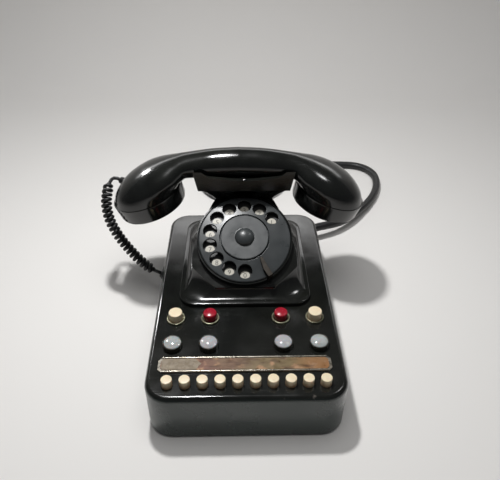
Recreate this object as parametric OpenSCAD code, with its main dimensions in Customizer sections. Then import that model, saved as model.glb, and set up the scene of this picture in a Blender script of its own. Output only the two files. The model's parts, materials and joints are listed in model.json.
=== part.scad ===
// A desk telephone with a key box: moulded housing with a rotary dial, a cradle and a handset on top,
// and a base box with ten line keys, a label frame, four lamps and four call buttons.
// The origin lies under the middle of the base box. X is to the right, Y to the back, Z up.

/* [Base box] */
// Width of the base box
base_w = 147; // [144:1:160]
// Length of the base box, front to back
base_l = 230; // [226:1:250]
// Height of the base box's top above the table
base_h = 44.5; // [43:0.5:52]
// Radius of the box's upright corners
base_corner = 18.5; // [14:0.5:22]
// Rounding of the box's top edge
base_edge = 4; // [3:0.5:6]
// Wall thickness of the base box
base_wall = 3; // [2.5:0.25:3.5]
// Thickness of the steel bottom plate
plate_t = 1.5; // [1:0.25:2]
// Diameter of a rubber foot
foot_d = 15; // [12:0.5:18]
// Height of a rubber foot
foot_h = 2.5; // [2:0.25:4]

/* [Line keys] */
// Number of line keys in the front row
key_count = 10; // [6:1:10]
// Distance between neighbouring line keys
key_pitch = 12.6; // [12:0.1:12.8]
// Diameter of a line key
key_d = 8; // [6.5:0.1:8.4]
// Height of a line key above the box
key_rise = 6.3; // [5:0.1:7]
// Travel of a line key
key_travel = 3.7; // [3:0.1:4]
// Distance of the key row from the front of the box
key_row = 13.6; // [11:0.2:15]

/* [Label frame] */
// Length of the label frame
label_w = 128; // [110:1:132]
// Depth of the label frame, front to back
label_d = 14.4; // [12:0.4:16]
// Distance of the frame's middle from the front of the box
label_row = 30.9; // [28:0.1:32]
// How far the frame lies to the right of the middle
label_shift = -1; // [-2:0.25:2]
// Thickness of the frame's sheet
label_t = 0.8; // [0.6:0.1:1.2]
// Width and height of the rolled long edges
label_roll = 1.8; // [1.4:0.1:2.2]

/* [Lamps and call buttons] */
// Distance of the outer column from the middle
outer_column = 56; // [52:0.5:57]
// Distance of the inner column from the middle
inner_column = 28.5; // [24:0.5:32]
// Distance of the lamp row from the front of the box
lamp_row = 49.6; // [48:0.5:54]
// Diameter of a lamp lens
lens_d = 13.2; // [11:0.2:13.2]
// Outer diameter of a lamp bezel
bezel_d = 14.8; // [14.5:0.1:16]
// Height of a bezel above the box
bezel_rise = 4.4; // [2:0.2:5]
// Height of a lens above the box
lens_rise = 6.2; // [5.4:0.2:7.4]
// Distance of the call button row from the front of the box
button_row = 78.3; // [74:0.5:80]
// Diameter of a call button
button_d = 10.8; // [9:0.1:11]
// Outer diameter of a call button's rim
rim_d = 14.7; // [14.5:0.1:16]
// Inner diameter of the rim
rim_bore = 12.4; // [11.6:0.1:12.6]
// Height of a rim above the box
rim_rise = 1.7; // [1:0.1:2.5]
// Height of a call button above the box
button_rise = 8.2; // [6.5:0.1:9]
// Travel of a call button
button_travel = 3.7; // [3:0.1:4]

/* [Housing] */
// Width of the housing's foot
skirt_w = 110.6; // [108:0.5:116]
// Distance from the call button row to the front of the housing's foot
housing_gap = 13.1; // [11:0.1:14.7]
// Distance from the back of the housing's foot to the back of the box
back_margin = 16.4; // [11:0.2:18]
// Corner radius of the housing's foot
skirt_r = 14; // [10:0.5:18]
// Height of the upright plinth edge
plinth_h = 2.6; // [2:0.2:4]
// Wall thickness of the housing
housing_wall = 3; // [2:0.25:3.25]
// Width of the dial seat
seat_w = 89.2; // [88:0.4:96]
// Width of the slanted corners at the front of the seat
seat_chamfer = 20.6; // [18:0.2:21]
// Half width of the neck behind the dial
neck_half = 23.6; // [22.6:0.2:25]

/* [Dial] */
// Diameter of the finger wheel
wheel_d = 79; // [76:0.5:80]
// Height of the middle of the wheel's face above the table
dial_z = 85.3; // [84.5:0.1:87]
// Distance of the wheel's middle behind the front of the housing's foot
dial_setback = 42.4; // [41.6:0.2:43.6]
// Slope of the dial
dial_tilt = 30; // [28:0.5:31]
// Diameter of the circle of the finger holes
hole_circle = 60.4; // [58.4:0.2:61.4]
// Diameter of a finger hole
hole_d = 12; // [10:0.1:12.4]
// Angle between neighbouring finger holes
hole_step = 25.8; // [24.6:0.1:26.2]
// Angle of the first finger hole
first_hole = 38; // [34:1:44]
// Depth of the seat below the wheel's face
seat_depth = 8.4; // [8.2:0.2:9.4]
// Wheel thickness
wheel_t = 2; // [1.6:0.1:2.4]
// Fall of the wheel's face from its disc to its rim
wheel_drop = 2.4; // [1.6:0.2:2.6]
// Depth of the wheel's turned rim
rim_lip = 3.2; // [2.6:0.2:3.6]
// Diameter of the disc in the middle of the wheel
disc_d = 41; // [38:0.4:42.6]
// Diameter of the knob in the middle of the disc
knob_d = 16.2; // [13:0.2:19]
// Height of the knob above the disc
knob_h = 4.4; // [3:0.2:6]
// Diameter of the dial shaft
shaft_d = 6; // [5:0.25:7]
// Angle of the finger stop
stop_angle = 301; // [298:1:306]

/* [Cradle] */
// Distance of the cradle's middle behind the wheel's edge
cradle_gap = 7.7; // [7:0.1:9]
// Height of the top of the funnel under the fork
funnel_top = 113; // [112:0.5:114]
// Half width of the fork at its foot
fork_half = 39.7; // [37.5:0.1:40]
// Half width of the fork at the prongs' tips
fork_tip_half = 43.6; // [42.8:0.2:44.4]
// Height of the ledge between the prongs above the fork's foot
ledge_h = 13; // [12:0.2:14]
// Dip of the ledge in the middle
ledge_dip = 3.2; // [2.4:0.2:4]
// Height of the prongs above the fork's foot
prong_h = 20.7; // [18:0.3:21]
// Width of a prong at its tip
prong_w = 7.2; // [6:0.2:8]
// Thickness of a prong, front to back
prong_t = 4; // [3.2:0.1:5]

/* [Handset] */
// Half the distance between the two cap centres
cap_x = 82; // [80:0.5:84]
// Diameter of a cap
cap_d = 64; // [60:0.5:65]
// Height of a cap
cap_h = 15.5; // [13:0.5:16]
// Tilt of the caps
cap_tilt = 17; // [14:0.5:18]
// How far the handset lies from the middle of its cradle
handset_shift = -4.5; // [-5:0.5:0]
// Wall thickness of a cap
cap_wall = 2.5; // [2:0.25:3]
// Height of the handle's middle
handle_h = 25.8; // [24:0.2:27]
// Depth of the handle, front to back
handle_d = 28; // [24:0.5:28.4]
// Drop of a cap's rim centre below the handle's underside
cap_drop = 15.5; // [14.5:0.5:17]

/* [Cords] */
// Outer diameter of the curly handset cord
curl_d = 10; // [9:0.1:10.4]
// Diameter of the wire in the curly cord
curl_wire = 3.2; // [2.4:0.1:3.4]
// Plain wire between the handset and the first curl
curl_tail = 15; // [12:0.5:18]
// Number of curls
curl_count = 23; // [18:1:24]
// Diameter of the line cord
line_d = 9; // [8:0.1:9]
// Largest radius of a turn in the put-away coil
coil_radius = 54; // [50:0.5:55]
// Turns of the put-away coil, over both layers
coil_turns = 3; // [3:1:5]
// Free space between neighbouring turns of the coil
coil_gap = 0.6; // [0.5:0.1:1.5]

/* [Hidden] */
$fn = 48;

// Clearances: between pieces that only pass each other, of a sliding fit, and of a turning pin
gap = 0.3;
slide = 0.2;
turn = 0.05;

// Heights in the base box
plate_top = foot_h + plate_t;
base_ceiling = base_h - base_wall;
front = -base_l / 2;
contact_plate_t = 1.5;
deck = base_ceiling - 18;
contact_plate_z = deck - contact_plate_t;

// Places along the box, from its front and its back
skirt_front = -(front + button_row + housing_gap);
skirt_back = base_l / 2 - back_margin;
dial_y = dial_setback - skirt_front;
cradle_y = dial_y + wheel_d / 2 + cradle_gap;
contact_plate_inset = 6;
contact_plate_l = button_row + 4;
circuit_y = front + contact_plate_inset + contact_plate_l + 8.7;

// Fasteners, all alike
screw_d = 3;
screw_head_d = 5.6;
screw_head_h = 1.2;
screw_l = 7.6;
boss_d = 8;
boss_inset_x = 9.5;
boss_inset_y = 23;

// Sizes of the keys' hidden parts
stem_d = 4.4;
flange_t = 1.5;
key_flange_d = key_d + 2.2;
key_flange_z = base_ceiling - gap - flange_t;
key_stem_z = key_flange_z - 6.5;
key_contact_top = key_stem_z - key_travel - gap;
bezel_sleeve_d = lens_d - 0.4;
rim_sleeve_d = button_d + 2.2;
rim_sleeve_z = base_ceiling - 1.5;
button_flange_z = rim_sleeve_z - gap - flange_t;
button_stem_z = button_flange_z - 3.5;
button_contact_top = button_stem_z - button_travel - gap;

// The dial's plane: the housing's seat is set back from the wheel's face
case_wall = 1;
case_gap = 0.6;
case_r = wheel_d / 2 + case_gap + case_wall;
case_floor = 0.8;
number_t = 0.8;
seat_front = case_r + 0.9;
seat_back = case_r + 3;
case_top = -wheel_drop - 1;
seat_half = seat_w / 2;
mechanism_r = 34.5;
seat_normal = [0, -sin(dial_tilt), cos(dial_tilt)];
seat_slope = [0, cos(dial_tilt), sin(dial_tilt)];
seat_mid = [0, dial_y, dial_z] - seat_depth * seat_normal;
neck_front = seat_mid[1] + (case_r + 0.8) * cos(dial_tilt);
handle_slot = handle_d + 4 * gap;
fork_d = handle_slot + 2 * prong_t;
neck_back = cradle_y + fork_d / 2 + 1.6;
seat_f = seat_mid - seat_front * seat_slope;
seat_b = seat_mid + seat_back * seat_slope;

// The handset's heights: the handle rests on the fork's saddle
fork_z = funnel_top + gap;
ledge_z = fork_z + ledge_h;
saddle_z = fork_z + 4.7;
saddle_r = handle_d / 2 + 5.5;
handle_z = saddle_z + gap + handle_h / 2;
handle_bottom = saddle_z + gap;
rim_z = handle_bottom - cap_drop;
head_r = cap_d / 2 - 0.8;

// Hand-chosen points of the cords, in round numbers
handset_route = [
  [-114.5, 87.2, 102], [-118.3, 88.7, 103], [-121.3, 86.8, 103.6], [-122.6, 82.5, 103.2],
  [-123.3, 77.5, 101.5], [-124.2, 71.5, 97.5], [-124.8, 66, 91.5], [-124, 61, 84.3],
  [-121.7, 56.7, 76.3], [-117.8, 53.2, 68.3], [-112.3, 50, 59.3], [-105.3, 47, 50],
  [-97.3, 44, 41], [-88.3, 41.2, 33.3], [-78.5, 39.1, 29.2]
];
line_route = [
  [71, 126.5, 15], [82, 131, 15], [92, 135, 14.4], [101, 139.5, 13.3], [110, 145.5, 12.1],
  [120, 154, 10.8], [130, 165, 9.5], [141, 179, 8], [152, 194.5, 6.5], [162, 212, 5.4],
  [169.5, 230, 4.8], [173.5, 247, 4.5], [174, 262, 4.5], [169.5, 275.5, 4.5], [160.5, 285, 4.5],
  [149, 290, 4.5], [135, 291.5, 4.5], [118, 292.5, 4.5], [98, 295, 4.5], [77, 298.5, 4.5],
  [55, 302.5, 4.5], [34, 305.3, 4.5], [17, 306, 4.5], [9, 306, 4.5]
];
gland_z = 15;
cord_gland_z = 28;
cord_gland_y = 38.5;

// Vectors and curves
function unit(v) = v / norm(v);
function mix(a, b, t) = a + (b - a) * t;
function flat(list) = [for (part = list) each part];
function span_point(p0, p1, p2, p3, t) =
  0.5 * (2 * p1 + (p2 - p0) * t + (2 * p0 - 5 * p1 + 4 * p2 - p3) * t ^ 2
         + (3 * p1 - p0 - 3 * p2 + p3) * t ^ 3);
function curve(p, steps) = [
  for (i = [0 : len(p) - 2]) for (s = [0 : steps - 1])
    span_point(p[max(i - 1, 0)], p[i], p[i + 1], p[min(i + 2, len(p) - 1)], s / steps),
  p[len(p) - 1]
];
function tangents(p) = [
  for (i = [0 : len(p) - 1]) unit(p[min(i + 1, len(p) - 1)] - p[max(i - 1, 0)])
];
function across(n, t) = unit(n - (n * t) * t);
function carried(t, n0) = [
  for (i = 0, n = across(n0, t[0]); i < len(t); i = i + 1, n = i < len(t) ? across(n, t[i]) : n) n
];
function circle_ring(c, n, b, r, sides) = [
  for (j = [0 : sides - 1]) c + r * (cos(360 * j / sides) * n + sin(360 * j / sides) * b)
];
function lengths(p) = [
  for (i = 0, s = 0; i < len(p); i = i + 1, s = i < len(p) ? s + norm(p[i] - p[i - 1]) : s) s
];
function at_length(p, s, want) = [
  for (k = [0 : 2]) lookup(want, [for (i = [0 : len(p) - 1]) [s[i], p[i][k]]])
];
function least_gap(p, skip, d) = min([
  for (i = [0 : len(p) - 1 - skip]) min([for (j = [i + skip : len(p) - 1]) norm(p[i] - p[j])])
]) - d;

function downward(rings) = [for (i = [len(rings) - 1 : -1 : 0]) rings[i]];

// A closed solid through rings that all have the same number of points
module loft(rings) {
  sides = len(rings[0]);
  last = (len(rings) - 1) * sides;
  polyhedron(
    points = flat(rings),
    faces = concat(
      [for (i = [0 : len(rings) - 2]) for (j = [0 : sides - 1]) for (half = [0, 1])
        let (a = i * sides + j, b = i * sides + (j + 1) % sides)
        half == 0 ? [a, b, b + sides] : [a, b + sides, a + sides]],
      [for (j = [1 : sides - 2]) [0, j + 1, j]],
      [for (j = [1 : sides - 2]) [last, last + j, last + j + 1]]
    )
  );
}

// A round tube along points
module tube(p, d, sides, up) {
  t = tangents(p);
  n = carried(t, up);
  loft([for (i = [0 : len(p) - 1]) circle_ring(p[i], n[i], cross(n[i], t[i]), d / 2, sides)]);
}

// A cylinder from one point to another, its radius going from r1 to r2
module rod(from, to, r1, r2, sides = 48) {
  v = to - from;
  translate(from) rotate([0, acos(v[2] / norm(v)), atan2(v[1], v[0])])
    cylinder(h = norm(v), r1 = r1, r2 = r2, $fn = sides);
}

// Outline of a plate between its front edge f and back edge b, half as wide as w is told.
// A corner is [width, depth, flatness]: flatness 0 is round, 1 would be a straight cut.
function corner(cx, cy, c, start) = [
  for (i = [0 : 6])
    let (arc = [cos(start + 15 * i), sin(start + 15 * i)],
         cut = mix([cos(start), sin(start)], [cos(start + 90), sin(start + 90)], i / 6),
         m = mix(arc, cut, c[2]))
    [cx + c[0] * m[0], cy + c[1] * m[1]]
];
function outline(w, f, b, front, rear) = concat(
  corner(w - front[0], f + front[1], front, -90),
  corner(w - rear[0], b - rear[1], rear, 0),
  corner(-w + rear[0], b - rear[1], rear, 90),
  corner(-w + front[0], f + front[1], front, 180)
);
function oblong(w, f, b, r) = outline(w, f, b, [r, r, 0], [r, r, 0]);
function round_box(w, l, r) = oblong(w / 2, -l / 2, l / 2, r);

// Places of what repeats
function key_x(i) = (i - (key_count - 1) / 2) * key_pitch;
columns = [-outer_column, -inner_column, inner_column, outer_column];
boss_places = [
  for (x = [-1, 1]) for (y = [-1, 1]) [x * (base_w / 2 - boss_inset_x), y * (base_l / 2 - boss_inset_y)]
];
housing_bosses = [for (x = [-36, 36]) for (y = [15.6 - skirt_front, skirt_back - 15]) [x, y]];
hole_angles = [for (i = [0 : 9]) first_hole + i * hole_step];

module at_keys() { for (i = [0 : key_count - 1]) translate([key_x(i), front + key_row, 0]) children(); }
module at_lamps() { for (x = columns) translate([x, front + lamp_row, 0]) children(); }
module at_buttons() { for (x = columns) translate([x, front + button_row, 0]) children(); }
module at_dial() { translate([0, dial_y, dial_z]) rotate([dial_tilt, 0, 0]) children(); }
module ring_of(r1, r2, z1, z2) {
  translate([0, 0, z1]) difference() {
    cylinder(h = z2 - z1, r = r2);
    translate([0, 0, -1]) cylinder(h = z2 - z1 + 2, r = r1);
  }
}

// Base box and what closes it: a hatch in its top lets the wires up into the housing
hatch_w = 50;
hatch_front = 25.6 - skirt_front;
hatch_l = skirt_back - 28 - hatch_front;
module base_corner_post() {
  steps = 5;
  e = base_edge;
  rotate_extrude($fn = 32) polygon(concat(
    [[0, foot_h], [base_corner, foot_h]],
    [for (i = [0 : steps]) [base_corner - e + e * cos(90 * i / steps), base_h - e + e * sin(90 * i / steps)]],
    [[0, base_h]]
  ));
}
module base_box() {
  color("#15181a") difference() {
    union() {
      difference() {
        hull() for (x = [-1, 1]) for (y = [-1, 1])
          translate([x * (base_w / 2 - base_corner), y * (base_l / 2 - base_corner), 0]) base_corner_post();
        translate([0, 0, foot_h - 1]) linear_extrude(base_ceiling - foot_h + 1)
          polygon(round_box(base_w - 2 * base_wall, base_l - 2 * base_wall, base_corner - base_wall));
      }
      for (p = boss_places) translate([p[0], p[1], plate_top])
        cylinder(h = base_ceiling - plate_top + 0.5, d = boss_d);
    }
    for (p = boss_places) translate([p[0], p[1], 0]) cylinder(h = plate_top + 12, d = screw_d);
    for (p = housing_bosses) translate([p[0], p[1], base_ceiling - 1])
      cylinder(h = base_wall + 2, d = screw_d + 0.4);
    at_keys() translate([0, 0, base_ceiling - 1]) cylinder(h = base_wall + 2, d = key_d + 2 * slide);
    at_lamps() translate([0, 0, base_ceiling - 1]) cylinder(h = base_wall + 2, d = bezel_sleeve_d + 2 * turn);
    at_buttons() translate([0, 0, base_ceiling - 1]) cylinder(h = base_wall + 2, d = button_d + 2.4);
    translate([-hatch_w / 2, hatch_front, base_ceiling - 1]) cube([hatch_w, hatch_l, base_wall + 2]);
    translate([-base_w / 2 - 1, cord_gland_y, cord_gland_z]) rotate([0, 90, 0])
      cylinder(h = base_wall + 2, d = gland_shank + 2 * turn);
    translate([line_gland_x, base_l / 2 - base_wall - 1, gland_z]) rotate([-90, 0, 0])
      cylinder(h = base_wall + 2, d = gland_shank + 2 * turn);
  }
}
module bottom_plate() {
  color("silver") difference() {
    translate([0, 0, foot_h]) linear_extrude(plate_t)
      polygon(round_box(base_w - 2 * base_wall - 0.6, base_l - 2 * base_wall - 0.6, base_corner - base_wall));
    for (p = boss_places) translate([p[0], p[1], 0]) cylinder(h = plate_top + 1, d = screw_d + 0.4);
  }
}
module rubber_feet() {
  color("#202020") for (p = boss_places) translate([p[0], p[1], 0]) difference() {
    cylinder(h = foot_h, r1 = foot_d / 2 - 0.8, r2 = foot_d / 2);
    translate([0, 0, -1]) cylinder(h = foot_h + 2, d = screw_d + 0.4);
    translate([0, 0, -1]) cylinder(h = foot_h, d = screw_head_d + 0.6);
  }
}
module screw() {
  translate([0, 0, -screw_head_h]) difference() {
    cylinder(h = screw_head_h, d = screw_head_d);
    translate([-screw_head_d, -0.4, -1]) cube([2 * screw_head_d, 0.8, 1.6]);
  }
  cylinder(h = screw_l, d = screw_d);
}
module case_screws() {
  color("silver") {
    for (p = boss_places) translate([p[0], p[1], foot_h - 1]) screw();
    for (p = housing_bosses) translate([p[0], p[1], base_ceiling]) screw();
  }
}

// Housing: the foot, a hollow sweep up to the sloping dial seat, the neck and the funnel
function tilted(f, b, w, front, rear) =
  let (l = norm(b - f), s = (b - f) / l)
  [for (p = outline(w, 0, l, front, rear)) [p[0], 0, 0] + f + p[1] * s];
function sweep(inset, u) =
  let (in = sin(90 * u), up = 1 - cos(90 * u), e = 2.6, cut = inset / 2,
       low = base_h + plinth_h + 1.6 - inset,
       f0 = [0, -skirt_front + e + inset, low], b0 = [0, skirt_back - e - inset, low],
       f1 = seat_f + inset * [0, 1, -1], b1 = seat_b - inset * [0, 1, 1],
       f = [0, mix(f0[1], f1[1], in), mix(f0[2], f1[2], up)],
       b = [0, mix(b0[1], b1[1], in), mix(b0[2], b1[2], up)],
       r = skirt_r - 1.5 - cut)
  tilted(f, b, mix(skirt_w / 2 - e, seat_half, in) - inset,
         [mix(r, seat_chamfer - cut, u), mix(r, seat_chamfer - 2.2 - cut, u), 0.92 * u],
         [mix(r, seat_half - neck_half, u), mix(r, seat_back + 12, u), 0.7 * u]);
function level(w, f, b, r, z) = [for (p = oblong(w, f, b, r)) [p[0], p[1], z]];
module housing_form(inset) {
  steps = 8;
  base = inset > 0 ? base_h - 1 : base_h;
  w = skirt_w / 2 - inset;
  f = -skirt_front + inset;
  b = skirt_back - inset;
  r = skirt_r - inset / 2;
  edge = base_h + plinth_h;
  loft(downward(concat(
    [level(w, f, b, r, base)],
    inset > 0 ? [] : [level(w, f, b, r, edge), level(w - 0.8, f + 0.8, b - 0.8, r - 0.4, edge + 1.1)],
    [for (i = [0 : steps]) sweep(inset, i / steps)]
  )));
}
function neck_ring(inset, w, f, b, z) = level(w - inset, f + inset, b - inset, 7 - inset / 2, z);
module neck_form(inset) {
  foot = base_h + plinth_h + 2;
  top = inset > 0 ? funnel_top - inset : funnel_top;
  low = funnel_top - 42;
  rise = funnel_top - 22;
  fork_front = cradle_y - fork_d / 2;
  loft(downward(concat(
    [for (u = [0 : 0.25 : 1]) let (in = sin(90 * u))
      neck_ring(inset, mix(neck_half + 20, neck_half, in), mix(neck_front - 15, neck_front, in),
                mix(skirt_back - 4, neck_back, in), mix(foot, low, u))],
    [for (u = [0 : 0.2 : 1])
      neck_ring(inset, mix(neck_half, fork_half, u ^ 1.4), mix(neck_front, fork_front, u ^ 1.4),
                neck_back, mix(rise, top, u))]
  )));
}
module phone_housing() {
  color("#121516") difference() {
    union() {
      difference() {
        union() { housing_form(0); neck_form(0); }
        housing_form(housing_wall);
        neck_form(housing_wall);
      }
      for (p = housing_bosses) translate([p[0], p[1], base_h]) cylinder(h = 5.5, d = boss_d);
    }
    at_dial() translate([0, 0, -seat_depth - 12]) cylinder(h = 14, r = mechanism_r + 0.5);
    at_dial() translate([0, 0, -seat_depth]) cylinder(h = 30, r = case_r + 0.4);
    translate([-fork_stem_w / 2 - slide, fork_stem_y - fork_stem_d / 2 - slide, funnel_top - housing_wall - 1])
      cube([fork_stem_w + 2 * slide, fork_stem_d + 2 * slide, housing_wall + 2]);
    for (p = housing_bosses) translate([p[0], p[1], base_h - 1]) cylinder(h = 6, d = screw_d);
  }
}

// Contact deck under the keys, lamps and call buttons, on four posts
contact_plate_w = base_w - 2 * base_wall - 13;
post_d = 6;
post_inset = 4;
module contact_plate() {
  start = front + contact_plate_inset;
  color("#8a8f8c") difference() {
    union() {
      translate([-contact_plate_w / 2, start, contact_plate_z])
        cube([contact_plate_w, contact_plate_l, contact_plate_t]);
      for (x = [-1, 1]) for (y = [start + post_inset, start + contact_plate_l - 13.3])
        translate([x * (contact_plate_w / 2 - post_inset), y, plate_top])
          cylinder(h = contact_plate_z - plate_top, d = post_d);
    }
    for (p = boss_places) translate([p[0], p[1], contact_plate_z - 1]) cylinder(h = 4, d = boss_d + 1);
  }
}
module contact_block(w, d, top) {
  translate([-w / 2, -d / 2, deck]) cube([w, d, top - deck]);
}
module key_contacts() {
  color("#b58a3c") {
    at_keys() contact_block(key_pitch - 5, 9, key_contact_top);
    at_buttons() contact_block(10, 9, button_contact_top);
  }
}
module lamp_bulbs() {
  color("#e8e4d4") at_lamps() {
    translate([0, 0, deck]) cylinder(h = 6.5, d = 8.5);
    translate([0, 0, deck + 6.5]) cylinder(h = 4.5, d = 7.4);
    translate([0, 0, deck + 11]) sphere(d = 7.4);
  }
}

// Lamps: each lens sits in a raised bezel, with its stem in the bezel's sleeve
bezel_floor = 1.2;
bezel_l = 6;
lens_stem_d = bezel_sleeve_d - 2;
module lamp_bezels() {
  color("#1c1d1e") at_lamps() {
    ring_of(lens_d / 2 + slide, bezel_d / 2, base_h + bezel_floor, base_h + bezel_rise);
    ring_of(lens_stem_d / 2 + slide, bezel_d / 2, base_h, base_h + bezel_floor);
    ring_of(lens_stem_d / 2 + slide, bezel_sleeve_d / 2, base_h - bezel_l, base_h);
  }
}
module lamp_lenses() {
  dome = lens_rise - bezel_rise;
  r = lens_d / 2;
  ball = (r * r + dome * dome) / (2 * dome);
  color("#c9cfd0") at_lamps() {
    translate([0, 0, base_h - bezel_l]) cylinder(h = bezel_l + bezel_floor, d = lens_stem_d);
    translate([0, 0, base_h + bezel_floor]) cylinder(h = bezel_rise - bezel_floor, r = r);
    translate([0, 0, base_h + bezel_rise]) intersection() {
      translate([0, 0, dome - ball]) sphere(r = ball);
      cylinder(h = dome + 1, r = r);
    }
  }
}

// A push button turned in one piece: cap, stop flange and stem. The cap has a rounded edge and a low crown.
module push_button(r, rise, e, crown, flange_r, flange_z, stem_end) {
  top = base_h + rise;
  rotate_extrude() polygon(concat(
    [[0, stem_end], [stem_d / 2, stem_end], [stem_d / 2, flange_z], [flange_r, flange_z],
     [flange_r, flange_z + flange_t], [r, flange_z + flange_t]],
    [for (i = [0 : 4]) [r - e + e * cos(22.5 * i), top - crown - e + e * sin(22.5 * i)]],
    [[r * 0.45, top - crown / 4], [0, top]]
  ));
}
module line_key(i) {
  color("#e9dcb4") translate([key_x(i - 1), front + key_row, 0])
    push_button(key_d / 2, key_rise, 0.5, 0.15, key_flange_d / 2, key_flange_z, key_stem_z);
}
button_colours = ["#ead9a8", "#a01c24", "#a01c24", "#ead9a8"];
button_edges = [0.6, 1.3, 1.3, 0.6];
module call_button(i) {
  edge = button_edges[i - 1];
  color(button_colours[i - 1]) translate([columns[i - 1], front + button_row, 0])
    push_button(button_d / 2, button_rise, edge, edge / 2, rim_sleeve_d / 2, button_flange_z, button_stem_z);
}
module button_rims() {
  color("#cfc7a6") at_buttons() {
    ring_of(rim_bore / 2, rim_d / 2, base_h, base_h + rim_rise);
    ring_of(button_d / 2 + slide, rim_sleeve_d / 2, rim_sleeve_z, base_h);
  }
}

// Label frame with rolled long edges and cut corners, and the plate under them
module label_outline(w, d, c) {
  polygon([
    [-w / 2 + c, -d / 2], [w / 2 - c, -d / 2], [w / 2, -d / 2 + c], [w / 2, d / 2 - c],
    [w / 2 - c, d / 2], [-w / 2 + c, d / 2], [-w / 2, d / 2 - c], [-w / 2, -d / 2 + c]
  ]);
}
module label_frame() {
  color("#b9b2a4") translate([label_shift, front + label_row, base_h]) {
    linear_extrude(label_t) label_outline(label_w, label_d, 3);
    for (y = [-1, 1]) translate([-label_w / 2 + 3, y * (label_d - label_roll) / 2, label_t])
      rotate([0, 90, 0]) intersection() {
        cylinder(h = label_w - 6, d = label_roll);
        translate([-label_roll, -label_roll, -1]) cube([label_roll, 2 * label_roll, label_w]);
      }
  }
}
module label_plate() {
  color("#7a5a44") translate([label_shift, front + label_row, base_h + label_t])
    linear_extrude(0.4) label_outline(label_w - 4, label_d - 2 * label_roll - 0.2, 2);
}

// Dial, drawn in its own frame: the wheel's face at zero, the mechanism below it
module dial_case() {
  color("#2b2d2e") at_dial() {
    difference() {
      union() {
        ring_of(27, case_r, -seat_depth, -seat_depth + case_floor);
        ring_of(case_r - case_wall, case_r, -seat_depth, case_top);
      }
      rotate([0, 0, stop_angle]) translate([case_r - case_wall - 1, -stop_w / 2 - slide, -seat_depth + case_floor])
        cube([case_wall + 2, stop_w + 2 * slide, seat_depth]);
    }
  }
}
module number_plate() {
  color("#26282a") at_dial()
    ring_of(20, case_r - case_wall - 0.4, -seat_depth + case_floor, -seat_depth + case_floor + number_t);
}
web_t = 1;
module finger_wheel() {
  r = wheel_d / 2;
  inner = disc_d / 2 + 0.8;
  rim = -wheel_drop;
  color("#3a3c3e") at_dial() difference() {
    rotate_extrude($fn = 96) polygon([
      [shaft_d / 2, -wheel_t - web_t], [inner + 2, -wheel_t - web_t], [r - 1.4, rim - wheel_t],
      [r - 1.4, rim - rim_lip], [r, rim - rim_lip], [r, rim - 0.8], [r - 0.8, rim],
      [inner, 0], [inner, -wheel_t], [shaft_d / 2, -wheel_t]
    ]);
    for (a = hole_angles) rotate([0, 0, a]) translate([hole_circle / 2, 0, -10])
      cylinder(h = 12, d = hole_d, $fn = 40);
  }
}
module wheel_centre() {
  r = disc_d / 2;
  k = knob_d / 2;
  color("#45484a") at_dial() rotate_extrude($fn = 96) polygon(concat(
    [[0, -wheel_t], [r, -wheel_t], [r, 0.1], [r - 0.6, 0.6], [k + 0.5, 0.3]],
    [for (i = [0 : 8]) [k * cos(11.25 * i), 0.5 + knob_h * sin(11.25 * i)]]
  ));
}
shaft_end = -31;
hub_t = 2;
module dial_shaft() {
  color("silver") at_dial() {
    translate([0, 0, shaft_end]) cylinder(h = -wheel_t - shaft_end, d = shaft_d);
    translate([0, 0, -wheel_t - web_t - hub_t]) cylinder(h = hub_t, r = shaft_d / 2 + 5);
  }
}
frame_z = -seat_depth - 2;
tube_end = -24;
module dial_frame() {
  color("#9aa0a0") at_dial() difference() {
    union() {
      translate([0, 0, frame_z]) cylinder(h = -seat_depth - frame_z, r = mechanism_r);
      translate([0, 0, tube_end]) cylinder(h = frame_z - tube_end, r = shaft_d / 2 + 2.5);
    }
    translate([0, 0, tube_end - 1]) cylinder(h = 30, d = shaft_d + 2 * turn);
    translate([governor_u, governor_v, frame_z - 1]) cylinder(h = 4, r = governor_r + turn);
  }
}
module spring_drum() {
  color("#8d7a45") at_dial()
    ring_of(shaft_d / 2 + 2.5 + gap / 3, shaft_d / 2 + 10, frame_z - 10, frame_z);
}
gear_teeth = 60;
gear_r = 17;
gear_z = tube_end - gap - 1.5;
module gear_form(r, teeth, h) {
  step = 360 / teeth;
  linear_extrude(h) polygon([for (i = [0 : teeth - 1]) for (p = [[0, 1], [0.5, 1], [0.62, 0.94], [0.88, 0.94]])
    r * p[1] * [cos(step * (i + p[0])), sin(step * (i + p[0]))]]);
}
module dial_gear() {
  color("#c2a14d") at_dial() translate([0, 0, gear_z]) difference() {
    gear_form(gear_r, gear_teeth, 1.5);
    translate([0, 0, -1]) cylinder(h = 4, d = shaft_d);
  }
}
pinion_r = 5.6;
governor_r = 1.5;
governor_u = 22;
governor_v = 7;
module governor_shaft() {
  color("#d0d4d4") at_dial() translate([governor_u, governor_v, 0]) {
    translate([0, 0, -33]) cylinder(h = 33 - seat_depth - 0.2, r = governor_r);
    translate([0, 0, gear_z - 0.5]) cylinder(h = 2.5, r = pinion_r);
    translate([0, 0, -32.4]) cylinder(h = 3, r = 5.4);
  }
}
cup_r = 6;
module governor_cup() {
  color("#b5a06a") at_dial() {
    translate([governor_u, governor_v, 0]) {
      ring_of(cup_r, cup_r + 1.6, -34.5, -29);
      ring_of(governor_r + turn, cup_r + 1.6, -35.5, -34.5);
      translate([cup_r + 3, 0, -35.5]) cylinder(h = 35.5 + frame_z, r = 2);
    }
  }
}
module pulse_contacts() {
  color("#c9b27a") at_dial() translate([-26, -8, frame_z - 11]) {
    cube([7, 16, 11]);
    for (y = [2, 7, 12]) translate([7, y, 2]) cube([6, 1.2, 5]);
  }
}
stop_w = 4.4;
stop_t = 1.5;
stop_lift = 0.9;
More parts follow.
